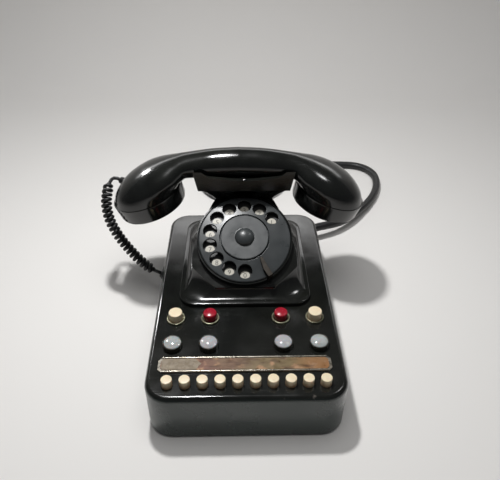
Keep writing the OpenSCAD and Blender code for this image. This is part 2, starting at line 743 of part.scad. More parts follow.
module finger_stop() {
  foot = -seat_depth + case_floor;
  inner = disc_d / 2 + 2.4;
  outer = case_r - 0.1;
  color("#35383a") at_dial() rotate([0, 0, stop_angle]) {
    translate([0, 0, stop_lift]) linear_extrude(stop_t) polygon(concat(
      [[outer, -stop_w / 2], [outer, stop_w / 2], [outer - 8, stop_w / 2]],
      [for (i = [0 : 4]) [inner + 1.4 - 1.4 * sin(45 * i), 1.6 + 1.4 * cos(45 * i)]],
      [[inner + 8, -stop_w / 2 + 0.6], [outer - 8, -stop_w / 2]]
    ));
    translate([outer - 1.1, -stop_w / 2, foot]) cube([1.1, stop_w, stop_lift + stop_t - foot]);
    translate([wheel_d / 2 + 0.4, -stop_w / 2, stop_lift]) cube([outer - wheel_d / 2 - 0.4, stop_w, stop_t]);
  }
}

// Cradle: a fork with four prongs and a saddle, on a stem that slides in the neck
fork_stem_w = 20;
fork_stem_d = 8;
fork_stem_y = cradle_y + 1;
fork_stem_end = 90;
ledge_mid = ledge_z - ledge_dip;
stud_d = 5;
stud_pin_l = 3.2;
stud_y = cradle_y - fork_d / 2 + 2.6;
module fork_face(t) {
  side = [[fork_half, 0], [fork_tip_half, prong_h - 2], [fork_tip_half - 1.5, prong_h],
          [fork_tip_half - prong_w + 1, prong_h], [fork_tip_half - prong_w - 1, prong_h - 3],
          [fork_half - 8.5, ledge_h + 1], [fork_half - 12, ledge_h]];
  dip = [for (i = [5 : -1 : -5]) [(fork_half - 12) * i / 6, ledge_h - ledge_dip * cos(15 * i)]];
  linear_extrude(t, center = true) polygon(concat(
    side, dip, [for (i = [6 : -1 : 0]) [-side[i][0], side[i][1]]]
  ));
}
module cradle_fork() {
  color("#111415") {
    difference() {
      translate([0, cradle_y, fork_z]) rotate([90, 0, 0]) fork_face(fork_d);
      translate([0, cradle_y, saddle_z + saddle_r]) rotate([0, 90, 0])
        cylinder(h = 200, r = saddle_r, center = true);
      translate([-100, cradle_y - handle_slot / 2, handle_z - 4])
        cube([200, handle_slot, 40]);
      translate([0, stud_y, ledge_mid - stud_pin_l]) cylinder(h = 8, d = stud_d - 2);
      translate([0, stud_y, ledge_mid]) cylinder(h = 8, d = stud_d + 2 * turn);
    }
    translate([-fork_stem_w / 2, fork_stem_y - fork_stem_d / 2, fork_stem_end])
      cube([fork_stem_w, fork_stem_d, fork_z - fork_stem_end + 1]);
  }
}
module cradle_stud() {
  color("#2a2c2d") translate([0, stud_y, ledge_mid - stud_pin_l]) {
    cylinder(h = stud_pin_l, d = stud_d - 2);
    translate([0, 0, stud_pin_l]) intersection() {
      translate([0, 0, -1.4]) sphere(r = 2.9);
      cylinder(h = 4, d = stud_d);
    }
  }
}
lever_y = cradle_y + 14;
lever_z = 84.5;
pin_r = 1.5;
nose_r = 2;
module hook_lever() {
  nose_z = fork_stem_end - gap - nose_r;
  color("#9aa0a0") {
    translate([-5, fork_stem_y, lever_z - 1]) cube([10, lever_y - fork_stem_y, 2]);
    translate([-5, fork_stem_y - 1, lever_z - 1]) cube([10, 2, nose_z - lever_z + 1]);
    translate([0, fork_stem_y, nose_z]) rotate([0, 90, 0]) cylinder(h = 10, r = nose_r, center = true);
    translate([0, lever_y, lever_z]) rotate([0, 90, 0]) cylinder(h = 10, r = 2.4, center = true);
    translate([0, lever_y, lever_z]) rotate([0, 90, 0]) cylinder(h = 18, r = pin_r, center = true);
  }
}
module hook_contacts() {
  wall_y = neck_back - housing_wall - 0.1;
  color("#a8a08a") {
    difference() {
      for (x = [-1, 1]) translate([x * 7.4 - 1, lever_y - 3, lever_z - 10]) cube([2, wall_y - lever_y + 3, 14]);
      translate([0, lever_y, lever_z]) rotate([0, 90, 0]) cylinder(h = 30, r = pin_r + turn, center = true);
    }
    translate([-8.4, wall_y - 1, lever_z - 10]) cube([16.8, 1, 7]);
    translate([-6.4, lever_y - 9, lever_z - 10]) cube([12.8, wall_y - lever_y + 9, 5]);
  }
}

// Handset: each ring runs from a point of the upper outline to one of the lower outline
rim_mid = [cap_x, rim_z];
rim_out = [cos(cap_tilt), -sin(cap_tilt)];
rim_down = [-sin(cap_tilt), -cos(cap_tilt)];
handle_top = handle_bottom + handle_h;
head_top = rim_mid + head_r * rim_out;
head_low = rim_mid - head_r * rim_out;
upper_line = [
  [0, handle_top], [23, handle_top - 1.3], [45, handle_top - 4.8], [56, handle_top - 7.6],
  [70, handle_top - 12.2], [cap_x + 2, handle_top - 18.2], [cap_x + 14, handle_top - 26],
  [head_top[0] - 8.2, head_top[1] + 17.5], [head_top[0] - 2.2, head_top[1] + 8.5], head_top
];
lower_line = [
  [0, handle_bottom], [21, handle_bottom], [fork_tip_half, handle_bottom], [head_low[0] - 5, handle_bottom - 0.6],
  [head_low[0] - 2.4, handle_bottom - 1.8], [head_low[0] - 0.8, handle_bottom - 2.9],
  [head_low[0] - 0.2, handle_bottom - 3.7], head_low + [-0.1, 1.5], head_low + [0, 0.8], head_low
];
half_depth = [
  handle_d / 2, handle_d / 2, handle_d / 2, handle_d / 2 + 3.2, head_r * 0.74, head_r * 0.87,
  head_r * 0.945, head_r * 0.98, head_r * 0.995, head_r
];
outline_rows = [for (i = [0 : len(upper_line) - 1])
  [upper_line[i][0], upper_line[i][1], lower_line[i][0], lower_line[i][1], half_depth[i]]];
function handset_ring(row, side, sides) =
  let (mid = [(row[0] + row[2]) / 2, (row[1] + row[3]) / 2], arm = [row[0], row[1]] - mid)
  [for (j = [0 : sides - 1]) let (a = 360 * j / sides)
    [handset_shift + side * (mid[0] + arm[0] * cos(a)), cradle_y + row[4] * sin(a), mid[1] + arm[1] * cos(a)]];
module cap_frame(side) {
  translate([handset_shift + side * rim_mid[0], cradle_y, rim_mid[1]]) rotate([0, side * (180 + cap_tilt), 0]) children();
}
neck_ring_r = cap_d / 2 - cap_wall - 0.15;
neck_ring_h = 6;
capsule_r = 25;
capsule_h = 9;
module handset_body() {
  rows = curve(outline_rows, 3);
  count = len(rows) - 1;
  sides = 28;
  color("#131617") difference() {
    union() {
      loft(concat(
        [for (i = [0 : count - 1]) handset_ring(rows[count - i], -1, sides)],
        [for (i = [0 : count]) handset_ring(rows[i], 1, sides)]
      ));
      for (side = [-1, 1]) cap_frame(side) cylinder(h = neck_ring_h, r = neck_ring_r);
    }
    for (side = [-1, 1]) cap_frame(side) translate([0, 0, -4]) cylinder(h = 20, r = capsule_r + 0.2);
    for (side = [-1, 1]) {
      bend = [handset_shift + side * (cap_x - 28), cradle_y, handle_z];
      rod([handset_shift - side, cradle_y, handle_z], bend, 4, 4, 16);
      rod(bend - [side * 2, 0, 0], [handset_shift + side * (cap_x - 14), cradle_y, rim_z], 4, 4, 16);
    }
    rod(handset_route[0] - 14 * ferrule_way, handset_route[0], ferrule_shank / 2 + turn, ferrule_shank / 2 + turn);
  }
}
module cap_shell() {
  r = cap_d / 2;
  rotate_extrude($fn = 72) polygon([
    [r - cap_wall, 0], [r, 0], [r, 1.6], [r - 1, cap_h - 3], [r - 1.9, cap_h - 0.9], [r - 3.4, cap_h],
    [r - 5, cap_h], [9, cap_h - 2.2], [0, cap_h - 2.4],
    [0, cap_h - 2.4 - cap_wall], [9, cap_h - 2.2 - cap_wall], [r - 8, cap_h - cap_wall - 0.9],
    [r - cap_wall - 1, cap_h - cap_wall - 1.5], [r - cap_wall, neck_ring_h + 1]
  ]);
}
module cap_holes(rings) {
  for (ring = rings) for (i = [0 : ring[0] - 1]) rotate([0, 0, 360 * i / ring[0]])
    translate([ring[1], 0, cap_h - 8]) cylinder(h = 12, d = 2.6, $fn = 20);
}
module earpiece_cap() {
  color("#101314") cap_frame(1) difference() {
    cap_shell();
    cap_holes([[1, 0], [6, 5.5], [12, 10.5]]);
  }
}
module mouthpiece_cap() {
  color("#101314") cap_frame(-1) difference() {
    cap_shell();
    cap_holes([[1, 0], [6, 6], [10, 12]]);
  }
}
capsule_z = cap_h - cap_wall - 2.4 - gap - capsule_h;
module receiver_capsule() {
  color("#b0b4b4") cap_frame(1) translate([0, 0, capsule_z]) {
    cylinder(h = capsule_h, r = 15);
    cylinder(h = 5, r = capsule_r);
  }
}
module transmitter_capsule() {
  color("#8f9494") cap_frame(-1) translate([0, 0, capsule_z]) {
    cylinder(h = capsule_h - 2, r = 17);
    cylinder(h = 4, r = capsule_r);
    translate([0, 0, capsule_h - 2]) cylinder(h = 2, r = 12);
  }
}

// Ringer and the rest of the circuit in the back of the base box
gong_x = 32;
gong_y = base_l / 2 - 39;
gong_r = 24;
gong_top = 20;
module bell_gongs() {
  color("#b9bcc0") for (x = [-gong_x, gong_x]) translate([x, gong_y, 0]) {
    rotate_extrude() polygon([
      [3, gong_top], [14, gong_top - 0.6], [20, gong_top - 3.5], [gong_r - 0.8, gong_top - 8],
      [gong_r, gong_top - 13], [gong_r - 1.3, gong_top - 13], [gong_r - 2.2, gong_top - 8],
      [19, gong_top - 4.9], [13.6, gong_top - 2], [3, gong_top - 1.4]
    ]);
    translate([0, 0, plate_top]) cylinder(h = gong_top - plate_top, d = 6);
    translate([0, 0, gong_top]) cylinder(h = 2, d = 9);
  }
}
clapper_y = gong_y - 24;
clapper_z = 14;
module ringer_coils() {
  color("#8a3b2c") {
    for (x = [-13, 13]) translate([x, clapper_y - 16, plate_top + 2]) cylinder(h = 20, d = 18);
    translate([-24, clapper_y - 26, plate_top]) cube([48, 26, 2]);
    difference() {
      translate([-5, clapper_y - 6, plate_top + 2]) cube([10, 12, clapper_z - plate_top - 4]);
      translate([0, clapper_y, plate_top]) cylinder(h = 20, r = pin_r + turn);
    }
    translate([-5, clapper_y - 6, plate_top]) cube([10, 12, 2]);
  }
}
module bell_clapper() {
  color("#c8ccd0") translate([0, clapper_y, 0]) {
    translate([0, 0, plate_top + 2.2]) cylinder(h = clapper_z - plate_top - 1, r = pin_r);
    translate([0, 0, clapper_z - 1.8]) cylinder(h = 2.6, r = 4);
    translate([-1.2, 0, clapper_z - 1.6]) cube([2.4, gong_y - clapper_y, 2]);
    translate([0, gong_y - clapper_y, clapper_z - 0.6]) sphere(r = 3);
  }
}
can_w = 34;
can_d = 24;
can_h = 24;
module capacitor() {
  color("#6f7072") translate([-can_w - 26, circuit_y, plate_top]) {
    cube([can_w, can_d, can_h]);
    for (x = [can_w / 4, can_w * 3 / 4]) translate([x, can_d / 2, can_h]) cylinder(h = 4, d = 5);
  }
}
terminal_count = 6;
terminal_pitch = 9;
terminal_d = 5;
strip_d = 16;
strip_h = 7;
module terminal_strip() {
  color("#6b4a2c") translate([8, circuit_y + 2, plate_top]) {
    cube([terminal_count * terminal_pitch, strip_d, strip_h]);
    for (i = [0 : terminal_count - 1]) translate([terminal_pitch * (i + 0.5), strip_d / 2, strip_h])
      cylinder(h = 2.4, d = terminal_d);
  }
}

// Handset cord: curls round a hand-chosen route, straight for one wire diameter at both ends
gland_shank = 10;
curl_radius = (curl_d - curl_wire) / 2;
curl_rings = 8;
route_points = curve(handset_route, 8);
route_length = lengths(route_points);
curl_total = route_length[len(route_length) - 1];
tail_points = [for (s = [2 * curl_wire : curl_wire : curl_tail - curl_wire / 2])
  at_length(route_points, route_length, s)];
curl_axis = [for (k = [0 : curl_count * curl_rings])
  at_length(route_points, route_length,
            mix(curl_tail, curl_total - 2 * curl_wire, k / (curl_count * curl_rings)))];
curl_tangent = tangents(curl_axis);
curl_normal = carried(curl_tangent, [0, 0, 1]);
curl_points = [for (k = [0 : len(curl_axis) - 1])
  let (n = curl_normal[k], b = cross(curl_tangent[k], n), a = 360 * k / curl_rings,
       ends = min(1, k / curl_rings, (len(curl_axis) - 1 - k) / curl_rings))
  curl_axis[k] + curl_radius * ends * (cos(a) * n + sin(a) * b)];
function straight_end(p, q, d) = [p, p + d * unit(q - p)];
cord_start = straight_end(route_points[0], route_points[1], curl_wire);
cord_finish = straight_end(route_points[len(route_points) - 1], route_points[len(route_points) - 2], curl_wire);
curly_line = concat(cord_start, tail_points, curl_points, [cord_finish[1], cord_finish[0]]);
module handset_cord() {
  color("#141414") tube(curly_line, curl_wire, 6, [0.3, 1, 0.1]);
}
ferrule_way = unit(route_points[1] - route_points[0]);
ferrule_shank = 6;
module handset_cord_ferrule() {
  tip = handset_route[0];
  color("#1a1a1a") {
    rod(tip - 10 * ferrule_way, tip - 1 * ferrule_way, ferrule_shank / 2, ferrule_shank / 2);
    rod(tip - 3 * ferrule_way, tip, 3.6, 3);
  }
}
module handset_cord_gland() {
  tip = handset_route[len(handset_route) - 1];
  wall_x = -base_w / 2;
  color("#1a1a1a") {
    rod([wall_x - 2, cord_gland_y, cord_gland_z], [wall_x, cord_gland_y, cord_gland_z], 7.5, 7.5);
    rod([wall_x, cord_gland_y, cord_gland_z], [wall_x + base_wall + 1.5, cord_gland_y, cord_gland_z],
        gland_shank / 2, gland_shank / 2);
    rod(tip, [wall_x - 2, cord_gland_y, cord_gland_z], 3.4, 5.5);
  }
}

// Line cord: a free stretch on the table, then a two-layer coil behind the telephone, then the plug
line_gland_x = 56;
line_points = curve(line_route, 3);
module line_cord() { color("#161616") tube(line_points, line_d, 10, [0, 0, 1]); }
coil_mid = [0, line_route[len(line_route) - 1][1] - coil_radius, line_d / 2];
coil_step = line_d + coil_gap;
loop_rings = 24;
half_turns = coil_turns / 2;
function coil_point(turns) =
  let (inward = min(turns, coil_turns - turns),
       r = coil_radius - coil_step * inward,
       climb = max(0, min(1, (turns - half_turns + 0.25) / 0.5)),
       a = 90 + 360 * turns)
  coil_mid + [r * cos(a), r * sin(a), coil_step * (1 - cos(180 * climb)) / 2];
plug_d = 16;
plug_l = 28;
tail_flat = 24;
tail_l = 46;
tail_drop = plug_d / 2 - line_d / 2 - coil_step;
coil_line = concat(
  [line_route[len(line_route) - 1]],
  [for (k = [0 : coil_turns * loop_rings]) coil_point(k / loop_rings)],
  [for (x = [-tail_flat / 2, -tail_flat]) coil_point(coil_turns) + [x, 0, 0]],
  [for (k = [1 : 5]) coil_point(coil_turns)
    + [-mix(tail_flat, tail_l, k / 5), 0, tail_drop * (1 - cos(36 * k)) / 2]],
  [[-tail_l - line_d, coil_mid[1] + coil_radius, plug_d / 2]]
);
module line_cord_coil() { color("#161616") tube(coil_line, line_d, 6, [0, 0, 1]); }
module line_cord_gland() {
  way = unit(line_route[1] - line_route[0]);
  wall_y = base_l / 2;
  color("#1a1a1a") {
    rod([line_gland_x, wall_y - base_wall - 1.5, gland_z], [line_gland_x, wall_y, gland_z],
        gland_shank / 2, gland_shank / 2);
    rod([line_gland_x, wall_y, gland_z], [line_gland_x, wall_y + 2, gland_z], 9, 9);
    difference() {
      rod(line_route[0] - 21 * [way[0], way[1], 0], line_route[0], 7.5, line_d / 2 + 0.8);
      translate([line_gland_x - 30, wall_y - 30, 0]) cube([60, 30 + 1, 40]);
    }
  }
}
module line_plug() {
  start = -tail_l - line_d;
  y = coil_mid[1] + coil_radius;
  z = plug_d / 2;
  color("#1d1e20") {
    rod([start, y, z], [start - 8, y, z], line_d / 2 + 1, plug_d / 2 - 1);
    rod([start - 8, y, z], [start - plug_l, y, z], plug_d / 2, plug_d / 2);
    for (a = [0 : 60 : 300]) translate([0, 4.4 * cos(a), 4.4 * sin(a)])
      rod([start - plug_l, y, z], [start - plug_l - 6, y, z], 0.9, 0.9);
  }
}
echo(handset_cord_length = curl_total, curls = curl_count,
     least_gap = least_gap(curl_points, curl_rings - 2, curl_wire));
echo(line_cord_free = lengths(line_points)[len(line_points) - 1],
     line_cord_coiled = lengths(coil_line)[len(coil_line) - 1],
     least_gap = least_gap(coil_line, loop_rings / 2, line_d));

base_box();
bottom_plate();
rubber_feet();
case_screws();
phone_housing();
contact_plate();
key_contacts();
lamp_bulbs();
lamp_lenses();
lamp_bezels();
button_rims();
for (i = [1 : key_count]) line_key(i);
for (i = [1 : 4]) call_button(i);
label_frame();
label_plate();
dial_case();
number_plate();
finger_wheel();
wheel_centre();
dial_shaft();
dial_gear();
dial_frame();
spring_drum();
governor_shaft();
governor_cup();
pulse_contacts();
finger_stop();
cradle_fork();
cradle_stud();
hook_lever();
hook_contacts();
handset_body();
earpiece_cap();
mouthpiece_cap();
receiver_capsule();
transmitter_capsule();
bell_gongs();
ringer_coils();
bell_clapper();
capacitor();
terminal_strip();
handset_cord();
handset_cord_gland();
handset_cord_ferrule();
line_cord();
line_cord_coil();
line_cord_gland();
line_plug();
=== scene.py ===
"""Black bakelite desk telephone: the visible pieces and a plain stage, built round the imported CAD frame."""

import json
from math import cos, pi, radians, sin

import bmesh
import bpy
from mathutils import Matrix, Vector


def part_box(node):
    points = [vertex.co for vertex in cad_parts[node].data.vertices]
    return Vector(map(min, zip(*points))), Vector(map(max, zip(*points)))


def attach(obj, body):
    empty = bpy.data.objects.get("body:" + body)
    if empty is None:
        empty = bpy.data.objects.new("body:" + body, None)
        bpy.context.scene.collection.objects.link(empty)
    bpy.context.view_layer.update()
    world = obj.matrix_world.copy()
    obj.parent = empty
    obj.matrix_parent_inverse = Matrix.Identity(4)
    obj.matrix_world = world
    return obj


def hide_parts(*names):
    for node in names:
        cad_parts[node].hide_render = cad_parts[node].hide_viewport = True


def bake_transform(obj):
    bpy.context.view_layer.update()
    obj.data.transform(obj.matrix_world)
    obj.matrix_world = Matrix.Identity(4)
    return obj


bl_info = {
    "name": "Bakelite telephone",
    "version": (1, 0, 0),
    "blender": (4, 5, 0),
    "location": "View3D > Sidebar > Telephone",
    "description": "Builds the telephone's visible pieces, their finishes and a plain stage",
    "category": "Object",
}

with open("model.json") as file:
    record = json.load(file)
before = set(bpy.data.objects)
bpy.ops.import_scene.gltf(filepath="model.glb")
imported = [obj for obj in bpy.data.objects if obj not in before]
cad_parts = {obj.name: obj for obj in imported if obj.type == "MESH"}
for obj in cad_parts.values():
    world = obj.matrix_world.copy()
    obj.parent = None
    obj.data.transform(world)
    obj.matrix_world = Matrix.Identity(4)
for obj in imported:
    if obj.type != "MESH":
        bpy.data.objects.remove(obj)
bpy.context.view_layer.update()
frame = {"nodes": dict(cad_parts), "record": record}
NODES = frame["nodes"]
RECORD = frame["record"]
BODY_OF = {node: body for body, nodes in RECORD["behaviour"]["bodies"].items() for node in nodes}
SLOT_OF = {part["node"]: part["material_slot"] for part in RECORD["subparts"]}
BASE_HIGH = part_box("base_box")[1]

# Lengths below are in millimetres, and meshes are made in metres
MM = 0.001

# Points of the cords, the same as in the part's source
HANDSET_ROUTE = [
    (-114.5, 87.2, 102), (-118.3, 88.7, 103), (-121.3, 86.8, 103.6), (-122.6, 82.5, 103.2),
    (-123.3, 77.5, 101.5), (-124.2, 71.5, 97.5), (-124.8, 66, 91.5), (-124, 61, 84.3),
    (-121.7, 56.7, 76.3), (-117.8, 53.2, 68.3), (-112.3, 50, 59.3), (-105.3, 47, 50),
    (-97.3, 44, 41), (-88.3, 41.2, 33.3), (-78.5, 39.1, 29.2),
]
LINE_ROUTE = [
    (71, 126.5, 15), (82, 131, 15), (92, 135, 14.4), (101, 139.5, 13.3), (110, 145.5, 12.1),
    (120, 154, 10.8), (130, 165, 9.5), (141, 179, 8), (152, 194.5, 6.5), (162, 212, 5.4),
    (169.5, 230, 4.8), (173.5, 247, 4.5), (174, 262, 4.5), (169.5, 275.5, 4.5), (160.5, 285, 4.5),
    (149, 290, 4.5), (135, 291.5, 4.5), (118, 292.5, 4.5), (98, 295, 4.5), (77, 298.5, 4.5),
    (55, 302.5, 4.5), (34, 305.3, 4.5), (17, 306, 4.5), (9, 306, 4.5),
]
# Middle and radius of each chip on the box's front edge
CHIPS = [
    ((26, -112.5, 42), 2), ((29, -113.4, 40.8), 1.3), ((47, -112, 42.5), 2.4),
    ((50.5, -112.8, 41.6), 1.8), ((59, -112.6, 41.5), 1.2),
]


def length_prop(name, description, value, low=0.0):
    """A length whose default is given in millimetres, and its lowest value in metres."""
    return bpy.props.FloatProperty(
        name=name, description=description, default=value * MM, min=low, unit="LENGTH", precision=5
    )


def angle_prop(name, description, degrees):
    return bpy.props.FloatProperty(
        name=name, description=description, default=radians(degrees), subtype="ANGLE"
    )


def tone(red, green, blue):
    """A colour written as a screen shows it, from 0 to 255, in the linear values that a shader takes."""
    return tuple((part / 255 / 12.92) if part < 10.3 else ((part / 255 + 0.055) / 1.055) ** 2.4
                 for part in (red, green, blue))


def colour_prop(name, description, *value):
    return bpy.props.FloatVectorProperty(
        name=name, description=description, default=tone(*value), min=0, max=1, subtype="COLOR"
    )


class PhoneCords(bpy.types.PropertyGroup):
    """Sizes of the two cords."""

    curl_diameter: length_prop("Curl diameter", "Outer diameter of the curly handset cord", 10)
    curl_wire: length_prop("Curl wire", "Diameter of the wire in the curly cord", 3.2)
    curl_tail: length_prop("Curl tail", "Plain wire between the handset and the first curl", 15)
    curl_count: bpy.props.IntProperty(name="Curls", description="Number of curls", default=23, min=1)
    line_diameter: length_prop("Line cord", "Diameter of the line cord", 9)
    coil_radius: length_prop("Coil radius", "Largest radius of a turn in the put-away coil", 54)
    coil_turns: bpy.props.IntProperty(name="Coil turns", description="Turns of the coil", default=3, min=1)
    coil_gap: length_prop("Coil gap", "Free space between neighbouring turns", 0.6)


class PhoneDial(bpy.types.PropertyGroup):
    """Places on the dial."""

    height: length_prop("Height", "Height of the middle of the wheel's face above the table", 85.3)
    setback: length_prop("Setback", "Distance of the wheel's middle behind the box's middle", 18.8)
    slope: angle_prop("Slope", "Slope of the dial", 30)
    first_hole: angle_prop("First hole", "Angle of the first finger hole", 38)
    hole_step: angle_prop("Hole step", "Angle between neighbouring finger holes", 25.8)
    hole_circle: length_prop("Hole circle", "Diameter of the circle of the finger holes", 60.4)
    plate_depth: length_prop("Plate depth", "Depth of the number plate's face below the wheel's", 6.8)
    spot_diameter: length_prop("Spot", "Diameter of a pale number spot", 8)
    figure_height: length_prop("Figure", "Height of a figure on its spot", 4.4)
    # The spots' drop leaves the dark plate in each hole's upper part: partly painted shade, where the wheel
    # shades the plate
    spot_drop: length_prop("Spot drop", "How far a spot lies below the middle of its hole", 2)


class PhoneMoulding(bpy.types.PropertyGroup):
    """Sizes of the moulded forms."""

    skirt_half: length_prop("Skirt half width", "Half the width of the housing's foot", 55.3)
    skirt_front: length_prop("Skirt front", "Distance of the foot's front edge ahead of the middle", 23.6)
    skirt_back: length_prop("Skirt back", "Distance of the foot's back edge behind the middle", 98.6)
    skirt_corner: length_prop("Skirt corner", "Corner radius of the foot", 14)
    plinth: length_prop("Plinth", "Height of the upright band round the foot", 2.6)
    seat_half: length_prop("Seat half width", "Half the width of the sloping dial seat", 44.6)
    seat_chamfer: length_prop("Seat corner", "Size of the seat's cut corners", 20.6)
    seat_depth: length_prop("Seat depth", "Depth of the seat below the wheel's face", 8.4)
    seat_front: length_prop("Seat front", "Reach of the seat below the dial's middle", 42)
    seat_back: length_prop("Seat back", "Reach of the seat above the dial's middle", 44.1)
    neck_half: length_prop("Neck half width", "Half the width of the neck", 23.6)
    neck_front: length_prop("Neck front", "Distance of the neck's front behind the middle", 59.3)
    neck_back: length_prop("Neck back", "Distance of the neck's back behind the middle", 86.2)
    neck_top: length_prop("Neck top", "Height of the neck's top", 113)
    fork_half: length_prop("Fork half width", "Half the width of the fork's foot", 39.7)
    wall: length_prop("Wall", "Wall of the hollow housing", 3)
    handle_bottom: length_prop("Handle bottom", "Height of the underside of the handle", 118.3)
    handle_height: length_prop("Handle height", "Height of the handle's section", 25.8)
    handle_depth: length_prop("Handle depth", "Depth of the handle's section", 28)
    cap_reach: length_prop("Cap reach", "Distance of a cap from the handset's middle", 82)
    cap_drop: length_prop("Cap drop", "Distance of a cap's rim below the handle", 15.5)
    cap_slope: angle_prop("Cap slope", "Slope of a cap", 17)
    head_radius: length_prop("Head radius", "Radius of the handset's head at its rim", 31.2)
    handset_shift: length_prop("Handset shift", "Shift of the handset to the left", 4.5)
    cradle: length_prop("Cradle", "Distance of the cradle behind the middle", 66)
    fork_tip: length_prop("Fork tip", "Half the width of the fork at its prongs", 43.6)


class PhoneStage(bpy.types.PropertyGroup):
    """The camera and the light."""

    lens: bpy.props.FloatProperty(name="Lens", description="Focal length in mm", default=37.68)
    camera_x: length_prop("Camera right", "Camera's place to the right of the middle", -4.65, -1)
    camera_y: length_prop("Camera behind", "Camera's place behind the middle", -337.78, -1)
    camera_z: length_prop("Camera height", "Camera's height above the table", 349.71)
    pitch: angle_prop("Pitch", "How far the camera looks down", 36.875)
    yaw: angle_prop("Yaw", "How far the camera is turned to the left", -1.492)
    roll: angle_prop("Roll", "How far the camera leans", 0.446)
    key_power: bpy.props.FloatProperty(name="Key light", description="Power in watts", default=2.6)
    fill_power: bpy.props.FloatProperty(name="Fill light", description="Power in watts", default=13)


class PhoneColours(bpy.types.PropertyGroup):
    """Colours of the finishes."""

    bakelite: colour_prop("Bakelite", "The moulded case and handset", 13, 15, 14)
    wheel: colour_prop("Wheel", "The finger wheel", 52, 55, 56)
    ivory: colour_prop("Ivory", "Line keys and outer call buttons", 228, 214, 184)
    red: colour_prop("Red", "Inner call buttons", 158, 26, 44)
    rim: colour_prop("Rims", "Rims of the call buttons", 178, 176, 150)
    lens: colour_prop("Lenses", "Lamp lenses", 162, 164, 164)
    nickel: colour_prop("Nickel", "Label frame", 176, 170, 158)
    cord: colour_prop("Cords", "Rubber of the cords", 22, 22, 23)
    floor: colour_prop("Floor", "The stage", 226, 224, 221)


GROUPS = {"phone_cords": PhoneCords, "phone_dial": PhoneDial, "phone_moulding": PhoneMoulding,
          "phone_stage": PhoneStage, "phone_colours": PhoneColours}


def mm(group, name):
    """A size of one of the groups, in millimetres."""
    return getattr(getattr(bpy.context.scene, group), name) / MM


# Curves and solids

def through(points, steps):
    """A smooth line through the points, with that many steps to the next one."""
    p = [Vector(point) for point in points]
    line = []
    for i in range(len(p) - 1):
        a, b, c, d = p[max(i - 1, 0)], p[i], p[i + 1], p[min(i + 2, len(p) - 1)]
        for s in range(steps):
            t = s / steps
            line.append(0.5 * (2 * b + (c - a) * t + (2 * a - 5 * b + 4 * c - d) * t ** 2
                               + (3 * b - a - 3 * c + d) * t ** 3))
    return line + [p[-1]]


def run_lengths(line):
    """The length of the line from its start to each of its points."""
    sums = [0.0]
    for a, b in zip(line, line[1:]):
        sums.append(sums[-1] + (b - a).length)
    return sums


def at_length(line, sums, want):
    """The point that far along the line."""
    i = 0
    while i < len(line) - 2 and sums[i + 1] < want:
        i += 1
    share = (want - sums[i]) / max(sums[i + 1] - sums[i], 1e-9)
    return line[i].lerp(line[i + 1], share)


def directions(line):
    last = len(line) - 1
    return [(line[min(i + 1, last)] - line[max(i - 1, 0)]).normalized() for i in range(len(line))]


def carried(ways, first):
    """A direction across the line at each point, carried along without twist."""
    across = []
    n = Vector(first)
    for way in ways:
        n = (n - n.dot(way) * way).normalized()
        across.append(n)
    return across


def new_piece(name, points, faces):
    mesh = bpy.data.meshes.new(name)
    mesh.from_pydata([tuple(Vector(point) * MM) for point in points], [], faces)
    for face in mesh.polygons:
        face.use_smooth = True
    piece = bpy.data.objects.new(name, mesh)
    bpy.context.scene.collection.objects.link(piece)
    return piece


def outward(piece):
    """Turns every face of a closed mesh to the outside."""
    form = bmesh.new()
    form.from_mesh(piece.data)
    bmesh.ops.recalc_face_normals(form, faces=form.faces)
    form.to_mesh(piece.data)
    form.free()
    return piece


def lofted(name, rings):
    """A closed solid through rings that all have the same number of points."""
    sides = len(rings[0])
    points = [point for ring in rings for point in ring]
    last = (len(rings) - 1) * sides
    faces = [
        (i * sides + j, i * sides + (j + 1) % sides, (i + 1) * sides + (j + 1) % sides, (i + 1) * sides + j)
        for i in range(len(rings) - 1) for j in range(sides)
    ]
    faces.append(tuple(range(sides - 1, -1, -1)))
    faces.append(tuple(range(last, last + sides)))
    return outward(new_piece(name, points, faces))


def tube(name, line, diameter, sides, up):
    """A round tube along a line. Up is any direction that isn't along the line's start."""
    ways = directions(line)
    side = carried(ways, up)
    rings = []
    for point, way, n in zip(line, ways, side):
        b = n.cross(way)
        rings.append([point + diameter / 2 * (cos(2 * pi * j / sides) * n + sin(2 * pi * j / sides) * b)
                      for j in range(sides)])
    return lofted(name, rings)


def eased(piece, width, angle=32, segments=2):
    """Rounds the hard edges of a piece a little and keeps its flat faces flat."""
    for mark in ("custom_normal", "sharp_face"):
        if mark in piece.data.attributes:
            piece.data.attributes.remove(piece.data.attributes[mark])
    if width:
        bevel = piece.modifiers.new("eased edges", "BEVEL")
        bevel.width = width * MM
        bevel.segments = segments
        bevel.limit_method = "ANGLE"
        bevel.angle_limit = radians(angle)
        bevel.miter_outer = "MITER_ARC"
    flat = piece.modifiers.new("flat faces", "WEIGHTED_NORMAL")
    flat.keep_sharp = True
    flat.weight = 60
    return piece


def copy_of(node, name, width, angle, segments):
    """A CAD node's shape as one joined smooth mesh with eased edges."""
    form = bmesh.new()
    form.from_mesh(NODES[node].data)
    bmesh.ops.remove_doubles(form, verts=form.verts, dist=2e-6)
    bmesh.ops.dissolve_limit(form, angle_limit=radians(0.5), verts=form.verts, edges=form.edges)
    for face in form.faces:
        face.smooth = True
    for edge in form.edges:
        edge.smooth = edge.calc_face_angle(0) < radians(angle)
    mesh = bpy.data.meshes.new(name)
    form.to_mesh(mesh)
    form.free()
    piece = bpy.data.objects.new(name, mesh)
    bpy.context.scene.collection.objects.link(piece)
    return eased(piece, width, angle, segments)


def placed(piece, node, look=None, replaces=()):
    """Gives a finished piece the finish of its node's slot and its node's body, and hides the CAD nodes that
    it stands for.
    """
    slot = SLOT_OF[node]
    piece.data.materials.clear()
    piece.data.materials.append(look or finish_for(slot))
    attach(piece, BODY_OF[node])
    if replaces:
        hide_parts(*replaces)
    return piece


